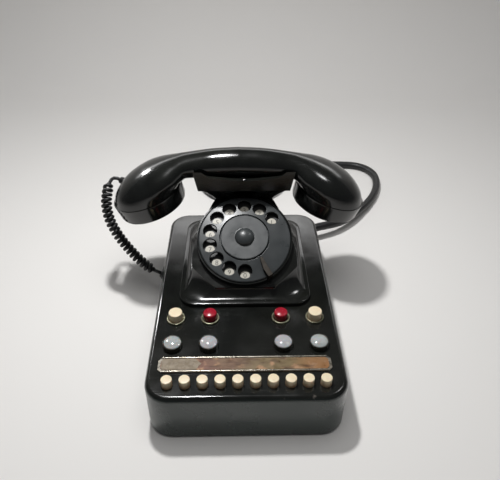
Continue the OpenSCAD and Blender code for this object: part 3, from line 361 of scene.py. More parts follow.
def dress(node, width=0.3, angle=32, segments=2, look=None):
    """Puts an eased copy of a CAD node in its place."""
    return placed(copy_of(node, node + "_form", width, angle, segments), node, look, [node])


def dial_frame():
    """From the dial's own frame, the wheel's face at zero, to the row frame, in millimetres."""
    return (Matrix.Translation((0, mm("phone_dial", "setback"), mm("phone_dial", "height")))
            @ Matrix.Rotation(bpy.context.scene.phone_dial.slope, 4, "X"))


# Moulded forms

def mix(a, b, t):
    return a + (b - a) * t


def corner(cx, cy, c, start):
    """A corner of an outline: c is its width, depth and flatness, from 0 for round to 1 for straight."""
    steps = 14
    first = Vector((cos(radians(start)), sin(radians(start))))
    last = Vector((cos(radians(start + 90)), sin(radians(start + 90))))
    points = []
    for i in range(steps + 1):
        turn = radians(start + 90 * i / steps)
        m = Vector((cos(turn), sin(turn))).lerp(first.lerp(last, i / steps), c[2])
        points.append((cx + c[0] * m.x, cy + c[1] * m.y))
    return points


def outline(w, f, b, front, rear):
    """A plate's outline between its front and back edges, half as wide as w is told."""
    return (corner(w - front[0], f + front[1], front, -90) + corner(w - rear[0], b - rear[1], rear, 0)
            + corner(-w + rear[0], b - rear[1], rear, 90) + corner(-w + front[0], f + front[1], front, 180))


def level(w, f, b, r, z):
    """A level outline with round corners."""
    return [(x, y, z) for x, y in outline(w, f, b, (r, r, 0), (r, r, 0))]


def tilted(f, b, w, front, rear):
    """An outline lying between two places at different heights."""
    slope = (b - f).normalized()
    return [Vector((x, 0, 0)) + f + y * slope for x, y in outline(w, 0, (b - f).length, front, rear)]


class Moulding:
    """The housing's and the handset's sizes in millimetres."""

    # Rounded step from the band to the sweep, and the sweep's start inside and above it
    lip = 0.8
    lip_rise = 1.1
    sweep_in = 2.6
    sweep_up = 1.6
    # How much smaller the sweep's corners are than the foot's
    foot_corner_loss = 1.5
    # How much less deep than wide the seat's front corners are
    seat_corner_loss = 2.2
    # Flatness of the seat's corners, and how far the rear ones reach past the seat's back
    front_flatness = 0.92
    rear_flatness = 0.7
    rear_reach = 12
    # Corner radius of the neck, and how far its foot spreads sideways, forwards and backwards
    neck_corner = 7
    foot_side = 20
    foot_front = 15
    foot_back = 4
    # Depths below the neck's top where its foot ends and its widening to the fork begins
    neck_waist = 42
    neck_flare = 22
    flare_power = 1.4
    # How far the hollow starts below the box's top, and a ring that holds the band's edge lies below it
    hollow_sink = 1
    band_step = 0.3
    # Height of the neck's start above the band, inside the sweep
    neck_start = 2
    # How far the neck's back stands out behind the fork's
    neck_behind = 1.6

    def __init__(self):
        for key in PhoneMoulding.__annotations__:
            setattr(self, key, mm("phone_moulding", key))
        self.cap_slope = bpy.context.scene.phone_moulding.cap_slope
        self.base_top = BASE_HIGH.z / MM
        self.edge = self.base_top + self.plinth
        slope = bpy.context.scene.phone_dial.slope
        uphill = Vector((0, cos(slope), sin(slope)))
        seat_mid = dial_frame() @ Vector((0, 0, -self.seat_depth))
        self.seat_low = seat_mid - self.seat_front * uphill
        self.seat_high = seat_mid + self.seat_back * uphill

    def sweep(self, inset, u):
        """A ring of the concave sweep: u goes from 0 at the foot to 1 at the dial's seat."""
        into = sin(pi / 2 * u)
        up = 1 - cos(pi / 2 * u)
        cut = inset / 2
        low = self.edge + self.sweep_up - inset
        f0 = Vector((0, -self.skirt_front + self.sweep_in + inset, low))
        b0 = Vector((0, self.skirt_back - self.sweep_in - inset, low))
        f1 = self.seat_low + inset * Vector((0, 1, -1))
        b1 = self.seat_high - inset * Vector((0, 1, 1))
        f = Vector((0, mix(f0.y, f1.y, into), mix(f0.z, f1.z, up)))
        b = Vector((0, mix(b0.y, b1.y, into), mix(b0.z, b1.z, up)))
        w = mix(self.skirt_half - self.sweep_in, self.seat_half, into) - inset
        r = self.skirt_corner - self.foot_corner_loss - cut
        chamfer_depth = mix(r, self.seat_chamfer - self.seat_corner_loss - cut, u)
        front = (mix(r, self.seat_chamfer - cut, u), chamfer_depth, self.front_flatness * u)
        rear = (mix(r, self.seat_half - self.neck_half, u), mix(r, self.seat_back + self.rear_reach, u),
                self.rear_flatness * u)
        return tilted(f, b, w, front, rear)

    def housing_form(self, inset, steps):
        """Rings from the foot to the seat. An inset form is the hollow inside, and starts lower."""
        w = self.skirt_half - inset
        f = -self.skirt_front + inset
        b = self.skirt_back - inset
        r = self.skirt_corner - inset / 2
        rings = [level(w, f, b, r, self.base_top - (self.hollow_sink if inset else 0))]
        if not inset:
            rings.append(level(w, f, b, r, self.edge - self.band_step))
            for a in range(0, 91, 15):
                step = 1 - cos(radians(a))
                rise = sin(radians(a))
                rings.append(level(w - self.lip * step, f + self.lip * step, b - self.lip * step,
                                   r - self.lip / 2 * step, self.edge + self.lip_rise * rise))
        return rings + [self.sweep(inset, i / steps) for i in range(steps + 1)]

    def neck_ring(self, inset, w, f, b, z):
        return level(w - inset, f + inset, b - inset, self.neck_corner - inset / 2, z)

    def neck_form(self, inset, steps):
        """Rings from the neck's spread foot to its widened top."""
        foot = self.edge + self.neck_start
        top = self.neck_top - inset
        low = self.neck_top - self.neck_waist
        rise = self.neck_top - self.neck_flare
        fork_front = self.cradle - (self.neck_back - self.neck_behind - self.cradle)
        rings = []
        for i in range(steps + 1):
            u = i / steps
            into = sin(pi / 2 * u)
            rings.append(self.neck_ring(inset, mix(self.neck_half + self.foot_side, self.neck_half, into),
                                        mix(self.neck_front - self.foot_front, self.neck_front, into),
                                        mix(self.skirt_back - self.foot_back, self.neck_back, into),
                                        mix(foot, low, u)))
        for i in range(steps + 1):
            u = i / steps
            wide = u ** self.flare_power
            rings.append(self.neck_ring(inset, mix(self.neck_half, self.fork_half, wide),
                                        mix(self.neck_front, fork_front, wide), self.neck_back,
                                        mix(rise, top, u)))
        return rings

    def handset_rings(self, steps, sides):
        """Rings from the left head to the right one, each across from the upper outline to the lower one."""
        bottom = self.handle_bottom
        top = bottom + self.handle_height
        reach = self.cap_reach
        half = self.handle_depth / 2
        head = self.head_radius
        rim_z = bottom - self.cap_drop
        outward_x = head * cos(self.cap_slope)
        outward_z = head * sin(self.cap_slope)
        high_x, high_z = reach + outward_x, rim_z - outward_z
        low_x, low_z = reach - outward_x, rim_z + outward_z
        # A row holds the upper point, the lower point and half the depth of a section
        rows = [
            (0, top, 0, bottom, half),
            (23, top - 1.3, 21, bottom, half),
            (45, top - 4.8, self.fork_tip, bottom, half),
            (56, top - 7.6, low_x - 5, bottom - 0.6, half + 3.2),
            (70, top - 12.2, low_x - 2.4, bottom - 1.8, head * 0.74),
            (reach + 2, top - 18.2, low_x - 0.8, bottom - 2.9, head * 0.87),
            (reach + 14, top - 26, low_x - 0.2, bottom - 3.7, head * 0.945),
            (high_x - 8.2, high_z + 17.5, low_x - 0.1, low_z + 1.5, head * 0.98),
            (high_x - 2.2, high_z + 8.5, low_x, low_z + 0.8, head * 0.995),
            (high_x, high_z, low_x, low_z, head),
        ]
        rows = through(rows, steps)

        def ring(row, side):
            mid_x, mid_z = (row[0] + row[2]) / 2, (row[1] + row[3]) / 2
            arm_x, arm_z = row[0] - mid_x, row[1] - mid_z
            points = []
            for j in range(sides):
                a = 2 * pi * j / sides
                points.append((-self.handset_shift + side * (mid_x + arm_x * cos(a)),
                               self.cradle + row[4] * sin(a), mid_z + arm_z * cos(a)))
            return points

        return [ring(row, -1) for row in reversed(rows[1:])] + [ring(row, 1) for row in rows]


def with_tools(piece, tools, operation):
    """Joins other solids to a piece, or cuts them out of it, and keeps the result as a plain mesh."""
    for tool in tools:
        change = piece.modifiers.new("tool", "BOOLEAN")
        change.operation = operation
        change.solver = "EXACT"
        change.object = tool
    mesh = bpy.data.meshes.new_from_object(piece.evaluated_get(bpy.context.evaluated_depsgraph_get()))
    piece.modifiers.clear()
    piece.data = mesh
    for tool in tools:
        bpy.data.objects.remove(tool)
    return piece


def round_bar(place, radius, low, high):
    """A closed cylinder along the Z axis of a placing."""
    sides = 96
    circle = [(radius * cos(2 * pi * j / sides), radius * sin(2 * pi * j / sides)) for j in range(sides)]
    return lofted("bar", [[place @ Vector((x, y, z)) for x, y in circle] for z in (low, high)])


def smooth_form(piece):
    """Smooth shading everywhere but over the real edges."""
    angle = 38
    form = bmesh.new()
    form.from_mesh(piece.data)
    bmesh.ops.remove_doubles(form, verts=form.verts, dist=1e-6)
    for face in form.faces:
        face.smooth = True
    for edge in form.edges:
        edge.smooth = edge.calc_face_angle(0) < radians(angle)
    form.to_mesh(piece.data)
    form.free()
    return piece


# Finishes

class Finish:
    """A material in the making: its shader and short ways to add nodes to it."""

    def __init__(self, name, colour, rough, **sockets):
        self.material = bpy.data.materials.new(name)
        self.material.use_nodes = True
        self.tree = self.material.node_tree
        self.shader = self.tree.nodes["Principled BSDF"]
        self.shader.inputs["Base Color"].default_value = (*colour, 1)
        self.shader.inputs["Roughness"].default_value = rough
        for socket, value in sockets.items():
            self.shader.inputs[socket.replace("_", " ")].default_value = value
        self.here = self.tree.nodes.new("ShaderNodeTexCoord").outputs["Object"]

    def node(self, kind, settings=None, **inputs):
        node = self.tree.nodes.new(kind)
        for key, value in (settings or {}).items():
            setattr(node, key, value)
        for key, value in inputs.items():
            socket = node.inputs[int(key[1:])] if key[0] == "i" and key[1:].isdigit() else node.inputs[key]
            if isinstance(value, bpy.types.NodeSocket):
                self.tree.links.new(value, socket)
            else:
                socket.default_value = value
        return node

    def noise(self, scale, detail=3.0, finer=None):
        """Noise from 0 to 1. Finer tells how many times finer it is along each axis."""
        place = self.here
        if finer:
            place = self.node("ShaderNodeMapping", None, Vector=self.here, Scale=finer).outputs[0]
        return self.node("ShaderNodeTexNoise", None, Vector=place, Scale=scale, Detail=detail).outputs["Fac"]

    def band(self, source, low, high, start=0.0, end=1.0):
        """Carries a value's range from low to high over to start to end, and holds it there."""
        node = self.node("ShaderNodeMapRange", None, Value=source)
        for key, value in (("From Min", low), ("From Max", high), ("To Min", start), ("To Max", end)):
            node.inputs[key].default_value = value
        return node.outputs[0]

    def maths(self, operation, a, b=0.0):
        return self.node("ShaderNodeMath", {"operation": operation}, i0=a, i1=b).outputs[0]

    def blend(self, share, a, b):
        """Colour a where share is 0 and colour b where it is 1."""
        node = self.node("ShaderNodeMix", {"data_type": "RGBA"})
        for socket, value in ((node.inputs[0], share), (node.inputs[6], a), (node.inputs[7], b)):
            if isinstance(value, bpy.types.NodeSocket):
                self.tree.links.new(value, socket)
            else:
                socket.default_value = (*value, 1) if isinstance(value, tuple) else value
        return node.outputs[2]

    def facing(self, axis):
        """How far the surface faces along X, Y or Z, from -1 to 1."""
        normal = self.node("ShaderNodeNewGeometry").outputs["Normal"]
        return self.node("ShaderNodeSeparateXYZ", None, Vector=normal).outputs[axis]

    def along(self, axis):
        """The place along X, Y or Z, in metres."""
        return self.node("ShaderNodeSeparateXYZ", None, Vector=self.here).outputs[axis]

    def spot(self, centre, radius):
        """1 inside a ball round a place in millimetres, falling to 0 at its rim."""
        gap = self.node("ShaderNodeVectorMath", {"operation": "DISTANCE"}, i0=self.here,
                        i1=tuple(Vector(centre) * MM)).outputs["Value"]
        return self.band(gap, radius * MM, radius * 0.4 * MM)

    def colour(self, socket):
        self.tree.links.new(socket, self.shader.inputs["Base Color"])
        return self

    def rough(self, socket):
        self.tree.links.new(socket, self.shader.inputs["Roughness"])
        return self

    def bump(self, height, strength, depth):
        """Raises the surface by height times depth, in millimetres."""
        node = self.node("ShaderNodeBump", None, Height=height, Strength=strength)
        node.inputs["Distance"].default_value = depth * MM
        self.tree.links.new(node.outputs[0], self.shader.inputs["Normal"])
        return self


def colour_of(name):
    return tuple(getattr(bpy.context.scene.phone_colours, name))


def shade(colour, share):
    return tuple(part * share for part in colour)


def towards(colour, other, share):
    return tuple(a + (b - a) * share for a, b in zip(colour, other))


def scratches(look):
    """Fine hairline scratches, 1 on a scratch."""
    lines = look.noise(26, 2, (1, 34, 9))
    return look.band(lines, 0.66, 0.7)


def bakelite(name):
    """Polished phenolic moulding: nearly black, with a thin film of dust on what faces up."""
    base = colour_of("bakelite")
    polish, dull, dust = 0.12, 0.24, 0.036
    look = Finish(name, base, polish, IOR=1.6)
    mottle = look.blend(look.band(look.noise(70, 4), 0.35, 0.7), shade(base, 0.7), shade(base, 1.25))
    patches = look.band(look.noise(16, 5), 0.38, 0.72, 0.15, 1)
    facing_up = look.band(look.facing("Z"), 0.3, 1)
    film = look.maths("MULTIPLY", look.maths("MULTIPLY", patches, facing_up), dust)
    look.colour(look.blend(film, mottle, tone(128, 126, 112)))
    worn = look.band(look.noise(48, 6), 0.35, 0.75, polish, dull)
    look.rough(look.maths("ADD", worn, look.maths("MULTIPLY", scratches(look), 0.06)))
    return look.bump(look.noise(180, 3), 0.05, 0.12)


def case_bakelite():
    """The box's bakelite: rougher sides with a painted green-grey reflection of the floor, and a chipped
    front edge.
    """
    look = bakelite("bakelite_case")
    base = colour_of("bakelite")
    inputs = look.shader.inputs
    body = inputs["Base Color"].links[0].from_socket
    # Painted reflection: the sides get a green-grey tint for the pale floor they mirror, and a little more
    # roughness
    side = look.band(look.facing("Z"), 0.75, 0.2)
    haze = look.band(look.noise(14, 4, (1, 1, 3)), 0.25, 0.8, 0.55, 1)
    sides = look.maths("MULTIPLY", side, haze)
    body = look.blend(sides, body, towards(base, tone(84, 104, 98), 0.26))
    chips = None
    ragged = look.band(look.noise(420, 5), 0.42, 0.56)
    for place, radius in CHIPS:
        spot = look.spot(place, radius)
        chips = spot if chips is None else look.maths("MAXIMUM", chips, spot)
    chips = look.maths("MULTIPLY", chips, ragged)
    look.colour(look.blend(look.maths("MULTIPLY", chips, 0.7), body, tone(140, 132, 124)))
    rough = inputs["Roughness"].links[0].from_socket
    look.rough(look.maths("ADD", rough, look.maths("MULTIPLY", sides, 0.16)))
    return look


def satin_wheel():
    """The handled satin finish of the finger wheel."""
    base = colour_of("wheel")
    look = Finish("wheel_plastic", base, 0.36, IOR=1.5)
    grain = look.noise(900, 2)
    worn = look.band(look.noise(60, 5), 0.3, 0.75)
    look.colour(look.blend(worn, shade(base, 0.86), shade(base, 1.12)))
    look.rough(look.band(look.noise(110, 4), 0.3, 0.75, 0.27, 0.42))
    return look.bump(grain, 0.12, 0.05)


def ivory():
    """Aged ivory plastic, browner towards its foot."""
    base = colour_of("ivory")
    look = Finish("key_ivory", base, 0.34, IOR=1.5, Subsurface_Weight=0.08, Subsurface_Scale=0.001)
    top = BASE_HIGH.z
    # The foot, up to about 4.6 mm above the box, turns browner in patches
    browner_foot = look.band(look.along("Z"), top + 4.6 * MM, top + 0.5 * MM)
    browner_foot = look.maths("MULTIPLY", browner_foot, look.band(look.noise(300, 4), 0.25, 0.7, 0.35, 1))
    yellowed = towards(base, tone(208, 186, 148), 0.35)
    mottle = look.blend(look.band(look.noise(240, 3), 0.3, 0.7), base, yellowed)
    look.colour(look.blend(browner_foot, mottle, tone(166, 126, 86)))
    look.rough(look.band(look.noise(400, 3), 0.3, 0.7, 0.28, 0.42))
    return look.bump(look.noise(600, 2), 0.08, 0.05)


def red_button():
    base = colour_of("red")
    look = Finish("button_red", base, 0.22, IOR=1.5)
    top = BASE_HIGH.z
    # Painted shade: the button darkens towards its foot, where it stands in its hole
    dark = look.band(look.along("Z"), top + 6 * MM, top + 1.5 * MM)
    look.colour(look.blend(dark, look.blend(look.noise(260, 3), base, shade(base, 0.8)), shade(base, 0.25)))
    look.rough(look.band(look.noise(300, 3), 0.3, 0.7, 0.18, 0.3))
    return look.bump(look.noise(500, 2), 0.06, 0.05)


def worn_metal(name, colour, rough, stain=(104, 92, 66), amount=0.5):
    """Plated metal with stains and small pits."""
    look = Finish(name, colour, rough, Metallic=0.85)
    spots = look.band(look.noise(180, 6), 0.45, 0.7, 0, amount)
    look.colour(look.blend(spots, look.blend(look.noise(60, 3), colour, shade(colour, 0.8)), tone(*stain)))
    look.rough(look.band(look.noise(240, 5), 0.3, 0.7, rough * 0.8, rough * 1.5))
    return look.bump(look.noise(500, 4), 0.12, 0.08)


def lens():
    """Milky lamp lenses: the outer two greener, the inner two more lilac."""
    base = colour_of("lens")
    look = Finish("lens_glass", base, 0.1, IOR=1.5, Subsurface_Weight=0.25, Subsurface_Scale=0.002)
    inner = look.band(look.maths("ABSOLUTE", look.along("X")), 0.045, 0.04)
    greener = towards(base, tone(142, 152, 146), 0.6)
    lilac = towards(base, tone(160, 156, 164), 0.6)
    tint = look.blend(inner, greener, lilac)
    cloud = look.band(look.noise(220, 3), 0.25, 0.75)
    look.colour(look.blend(cloud, tint, towards(base, (1, 1, 1), 0.07)))
    look.rough(look.band(look.noise(300, 3), 0.3, 0.7, 0.07, 0.16))
    return look.bump(look.noise(420, 2), 0.03, 0.05)


def label_plate():
    """Corroded label plate: reddish brown at the left, olive in the middle, orange at the right."""
    look = Finish("label_paint", tone(122, 96, 74), 0.4, Metallic=0.35)
    wander = look.band(look.noise(60, 5), 0, 1, -0.022, 0.022)
    x = look.maths("ADD", look.along("X"), wander)
    first = look.blend(look.band(x, -0.028, 0.006), tone(104, 74, 62), tone(112, 96, 72))
    second = look.blend(look.band(x, 0.004, 0.03), first, tone(116, 100, 70))
    third = look.blend(look.band(x, 0.028, 0.058), second, tone(142, 100, 62))
    flecks = look.band(look.noise(150, 8), 0.53, 0.66)
    rusty = look.blend(flecks, third, tone(156, 122, 92))
    dark = look.band(look.noise(95, 7, (1, 2.4, 1)), 0.52, 0.68, 0, 0.8)
    look.colour(look.blend(dark, rusty, tone(74, 52, 40)))
    look.rough(look.band(look.noise(200, 6), 0.3, 0.7, 0.25, 0.6))
    return look.bump(look.noise(260, 8), 0.3, 0.15)


def celluloid():
    look = Finish("label_celluloid", tone(150, 144, 128), 0.24)
    haze = look.noise(130, 5, (1, 2, 1))
    look.colour(look.blend(look.band(haze, 0.3, 0.75), tone(122, 110, 94), tone(146, 134, 116)))
    look.rough(look.band(look.noise(240, 4), 0.3, 0.7, 0.18, 0.36))
    return look.bump(haze, 0.08, 0.1)


def plain(name, colour, rough, metal=0.0, variety=0.2, grain=300):
    """A simple finish with a little variety in tone, gloss and surface."""
    look = Finish(name, colour, rough, Metallic=metal)
    mottle = look.noise(grain * 0.3, 4)
    look.colour(look.blend(mottle, shade(colour, 1 - variety), shade(colour, 1 + variety)))
    look.rough(look.band(look.noise(grain, 4), 0.3, 0.7, rough * 0.8, min(1, rough * 1.25)))
    return look.bump(look.noise(grain * 2, 3), 0.1, 0.05)


FINISHES = {
    "bakelite": lambda: bakelite("bakelite"),
    "wheel_plastic": satin_wheel,
    "key_ivory": ivory,
    "button_red": red_button,
    "rim_metal": lambda: worn_metal("rim_metal", colour_of("rim"), 0.3, (92, 88, 62), 0.6),
    "lens_glass": lens,
    "bulb_glass": lambda: plain("bulb_glass", tone(220, 220, 214), 0.15),
    "bezel_dark": lambda: plain("bezel_dark", tone(52, 52, 46), 0.3, 0.4),
    "nickel": lambda: worn_metal("nickel", colour_of("nickel"), 0.26),
    "label_paint": label_plate,
    "number_black": lambda: plain("number_black", tone(34, 34, 34), 0.35),
    "steel": lambda: plain("steel", tone(150, 152, 154), 0.35, 0.9),
    "dark_steel": lambda: plain("dark_steel", tone(44, 38, 30), 0.36, 0.3),
    "spring_brass": lambda: plain("spring_brass", tone(188, 158, 96), 0.32, 0.9),
    "laminate": lambda: plain("laminate", tone(112, 72, 44), 0.5, 0, 0.3),
    "coil_winding": lambda: plain("coil_winding", tone(132, 58, 36), 0.35, 0, 0.25, 900),
    "can_paint": lambda: plain("can_paint", tone(176, 176, 172), 0.35, 0.7),
    "foot_rubber": lambda: plain("foot_rubber", tone(30, 30, 30), 0.75),
    "cord_rubber": lambda: plain("cord_rubber", colour_of("cord"), 0.42, 0, 0.3, 500),
}
MADE = {}


def finish_for(slot):
    """The material of a slot, made once."""
    if slot not in MADE:
        MADE[slot] = FINISHES[slot]().material
    return MADE[slot]


# Operators

class PHONE_OT_camera(bpy.types.Operator):
    """Puts the camera at the photograph's viewing angle"""

    bl_idname = "phone.camera"
    bl_label = "Camera"

    def execute(self, context):
        stage = context.scene.phone_stage
        ahead = Vector((0, cos(stage.pitch), -sin(stage.pitch)))
        above = Vector((0, sin(stage.pitch), cos(stage.pitch)))
        right = Vector((1, 0, 0))
        turn = Matrix.Rotation(stage.yaw, 3, "Z")
        ahead, above, right = turn @ ahead, turn @ above, turn @ right
        leaned_right = cos(stage.roll) * right + sin(stage.roll) * above
        leaned_up = cos(stage.roll) * above - sin(stage.roll) * right
        data = bpy.data.cameras.new("camera")
        data.lens = stage.lens
        data.sensor_width = 36
        data.clip_start = 0.01
        camera = bpy.data.objects.new("camera", data)
        place = Matrix((leaned_right, leaned_up, -ahead)).transposed().to_4x4()
        place.translation = (stage.camera_x, stage.camera_y, stage.camera_z)
        camera.matrix_world = place
        context.scene.collection.objects.link(camera)
        context.scene.camera = camera
        return {"FINISHED"}


def curly_line(rings):
    """The line of the handset cord's wire, from the handset to the box, with that many points to a curl."""
    wire = mm("phone_cords", "curl_wire")
    tail = mm("phone_cords", "curl_tail")
    count = bpy.context.scene.phone_cords.curl_count
    radius = (mm("phone_cords", "curl_diameter") - wire) / 2
    route = through(HANDSET_ROUTE, 8)
    sums = run_lengths(route)
    total = sums[-1]
    steps = count * rings
    axis = [at_length(route, sums, tail + (total - 2 * wire - tail) * k / steps) for k in range(steps + 1)]
    ways = directions(axis)
    side = carried(ways, (0, 0, 1))
    curls = []
    for k, (point, way, n) in enumerate(zip(axis, ways, side)):
        b = way.cross(n)
        turn = 2 * pi * k / rings
        growth = min(1, k / rings, (steps - k) / rings)
        curls.append(point + radius * growth * (cos(turn) * n + sin(turn) * b))
    plain_steps = int((tail - wire / 2 - 2 * wire) / wire) + 1
    start = [route[0], route[0] + wire * (route[1] - route[0]).normalized()]
    start += [at_length(route, sums, 2 * wire + wire * k) for k in range(plain_steps)]
    end = [route[-1] + wire * (route[-2] - route[-1]).normalized(), route[-1]]
    return start + curls + end


class PHONE_OT_handset_cord(bpy.types.Operator):
    """Makes the curly cord between the handset and the box, with its ferrule and gland"""

    bl_idname = "phone.handset_cord"
    bl_label = "Handset cord"

    def execute(self, context):
        wire = mm("phone_cords", "curl_wire")
        line = curly_line(rings=20)
        line.reverse()
        cord = tube("handset_cord_curls", line, wire, sides=12, up=(0.3, 1, 0.1))
        cord.data.materials.append(finish_for("cord_rubber"))
        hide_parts("handset_cord")
        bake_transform(cord)
        gland = dress("handset_cord_gland", 0.5)
        ferrule = dress("handset_cord_ferrule", 0.4)
        return {"FINISHED"}


def coil_line(steps):
    """The line of the put-away coil and its tail, with that many points to a turn."""
    diameter = mm("phone_cords", "line_diameter")
    largest = mm("phone_cords", "coil_radius")
    turns = bpy.context.scene.phone_cords.coil_turns
    step = diameter + mm("phone_cords", "coil_gap")
    climb_turns = 0.5
    middle = Vector((0, LINE_ROUTE[-1][1] - largest, diameter / 2))

    def at(turn):
        radius = largest - step * min(turn, turns - turn)
        climb = max(0, min(1, (turn - turns / 2 + climb_turns / 2) / climb_turns))
        angle = pi / 2 + 2 * pi * turn
        return middle + Vector((radius * cos(angle), radius * sin(angle), step * (1 - cos(pi * climb)) / 2))

    plug_radius, flat, tail, tail_steps = 8, 24, 46, 8
    drop = plug_radius - diameter / 2 - step
    line = [at(k / steps) for k in range(turns * steps + 1)]
    top = line[-1]
    line += [top - Vector((flat * share, 0, 0)) for share in (0.25, 0.5, 0.75, 1)]
    for k in range(1, tail_steps + 1):
        away = flat + (tail - flat) * k / tail_steps
        line.append(top + Vector((-away, 0, drop * (1 - cos(pi * k / tail_steps)) / 2)))
    line.append(Vector((-tail - diameter, middle.y + largest, plug_radius)))
    return line


class PHONE_OT_line_cord(bpy.types.Operator):
    """Makes the line cord on the table, its put-away coil, its strain relief and its plug"""

    bl_idname = "phone.line_cord"
    bl_label = "Line cord"

    def execute(self, context):
        diameter = mm("phone_cords", "line_diameter")
        line = through(LINE_ROUTE, steps=6) + coil_line(steps=48)
        cord = tube("line_cord_run", line, diameter, sides=16, up=(0, 0, 1))
        placed(cord, "line_cord", None, ["line_cord", "line_cord_coil"])
        plug = dress("line_plug", 0.5)
        gland = dress("line_cord_gland", 0.6)
        return {"FINISHED"}


class PHONE_OT_base(bpy.types.Operator):
    """Finishes the moulded box, its bottom plate, feet and screws"""

    bl_idname = "phone.base"
    bl_label = "Box"

    def execute(self, context):
        MADE["case"] = case_bakelite().material
        dress("base_box", 0.35, 34, 2, MADE["case"])
        dress("bottom_plate", 0.3)
        dress("rubber_feet", 0.4)
        dress("case_screws", 0.15)
        return {"FINISHED"}


class PHONE_OT_housing(bpy.types.Operator):
    """Makes the housing that carries the dial and the cradle"""

    bl_idname = "phone.housing"
    bl_label = "Housing"

    def execute(self, context):
        sizes = Moulding()
        housing = lofted("phone_housing_form", sizes.housing_form(inset=0, steps=40))
        with_tools(housing, [lofted("neck", sizes.neck_form(inset=0, steps=20))], "UNION")
        seat = dial_frame() @ Matrix.Translation((0, 0, -sizes.seat_depth))
        case_radius = (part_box("dial_case")[1].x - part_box("dial_case")[0].x) / 2 / MM
        case_room, ledge, above, below, overlap = 0.4, 6, 30, 12, 2
        with_tools(housing, [lofted("hollow", sizes.housing_form(sizes.wall, steps=10)),
                             lofted("hollow_neck", sizes.neck_form(sizes.wall, steps=10)),
                             round_bar(seat, case_radius + case_room, 0, above),
                             round_bar(seat, case_radius - ledge, -below, overlap)], "DIFFERENCE")
        placed(smooth_form(housing), "phone_housing", None, ["phone_housing"])
        return {"FINISHED"}


class PHONE_OT_line_keys(bpy.types.Operator):
    """Makes the row of line keys"""

    bl_idname = "phone.line_keys"
    bl_label = "Line keys"

    def execute(self, context):
        for node in sorted(n for n in NODES if n.startswith("line_key_")):
            dress(node, 0.2, 40)
        return {"FINISHED"}


class PHONE_OT_call_buttons(bpy.types.Operator):
    """Makes the four call buttons and their rims"""

    bl_idname = "phone.call_buttons"
    bl_label = "Call buttons"

    def execute(self, context):
        for node in sorted(n for n in NODES if n.startswith("call_button_")):
            dress(node, 0.2, 40)
        dress("button_rims", 0.5, 32, 3)
        return {"FINISHED"}


class PHONE_OT_lamps(bpy.types.Operator):
    """Makes the four lamps: lenses and bezels"""

    bl_idname = "phone.lamps"
    bl_label = "Lamps"

    def execute(self, context):
        dress("lamp_lenses", 0.3, 40)
        dress("lamp_bezels", 0.4, 32, 3)
        return {"FINISHED"}


class PHONE_OT_label(bpy.types.Operator):
    """Makes the label frame, its corroded plate and what is left of the celluloid over it"""

    bl_idname = "phone.label"
    bl_label = "Label strip"

    def execute(self, context):
        dress("label_frame", 0.25, 32, 2)
        dress("label_plate", 0.08)
        low, high = (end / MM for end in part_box("label_plate"))
        film_start, film_end, side_gap, thickness, cut = 0.5, 30, 0.1, 0.25, 1.5
        left, right = low.x + film_start, low.x + film_end
        front, back, floor = low.y + side_gap, high.y - side_gap, high.z
        torn = [(left + cut, front), (right - 3.5, front), (right - 2.2, front + 3), (right, front + 5.5),
                (right - 2.4, back - 2.6), (right - 4.6, back), (left + cut, back), (left, back - cut),
                (left, front + cut)]
        levels = (floor, floor + thickness)
        strip = lofted("label_celluloid_strip", [[(x, y, z) for x, y in torn] for z in levels])
        eased(strip, 0.08)
        placed(strip, "label_plate", celluloid().material)
        return {"FINISHED"}


def ring_tree(look):
    """Geometry nodes: discs standing in an arc, made real and given their finish."""
    tree = bpy.data.node_groups.new("discs in an arc", "GeometryNodeTree")
    inputs = {}
    for name in ("Count", "Arc radius", "First angle", "Step", "Disc radius", "Disc height"):
        kind = "NodeSocketInt" if name == "Count" else "NodeSocketFloat"
        inputs[name] = tree.interface.new_socket(name, in_out="INPUT", socket_type=kind).identifier
    tree.interface.new_socket("Geometry", in_out="OUTPUT", socket_type="NodeSocketGeometry")
    entry = tree.nodes.new("NodeGroupInput")
    leave = tree.nodes.new("NodeGroupOutput")

    def node(kind, operation=None):
        made = tree.nodes.new(kind)
        if operation:
            made.operation = operation
        return made

    def link(a, b):
        tree.links.new(a, b)

    points = node("GeometryNodePoints")
    link(entry.outputs["Count"], points.inputs["Count"])
    turn = node("ShaderNodeMath", "MULTIPLY_ADD")
    link(node("GeometryNodeInputIndex").outputs[0], turn.inputs[0])
    link(entry.outputs["Step"], turn.inputs[1])
    link(entry.outputs["First angle"], turn.inputs[2])
    place = node("ShaderNodeCombineXYZ")
    for operation, axis in (("COSINE", "X"), ("SINE", "Y")):
        wave = node("ShaderNodeMath", operation)
        link(turn.outputs[0], wave.inputs[0])
        reach = node("ShaderNodeMath", "MULTIPLY")
        link(wave.outputs[0], reach.inputs[0])
        link(entry.outputs["Arc radius"], reach.inputs[1])
        link(reach.outputs[0], place.inputs[axis])
    moved = node("GeometryNodeSetPosition")
    link(points.outputs[0], moved.inputs["Geometry"])
    link(place.outputs[0], moved.inputs["Position"])
    disc = node("GeometryNodeMeshCylinder")
    disc.inputs["Vertices"].default_value = 40
    link(entry.outputs["Disc radius"], disc.inputs["Radius"])
    link(entry.outputs["Disc height"], disc.inputs["Depth"])
    copies = node("GeometryNodeInstanceOnPoints")
    link(moved.outputs[0], copies.inputs["Points"])
    link(disc.outputs["Mesh"], copies.inputs["Instance"])
    real = node("GeometryNodeRealizeInstances")
    link(copies.outputs[0], real.inputs[0])
    painted = node("GeometryNodeSetMaterial")
    painted.inputs["Material"].default_value = look
    link(real.outputs[0], painted.inputs["Geometry"])
    link(painted.outputs[0], leave.inputs[0])
    return tree, inputs


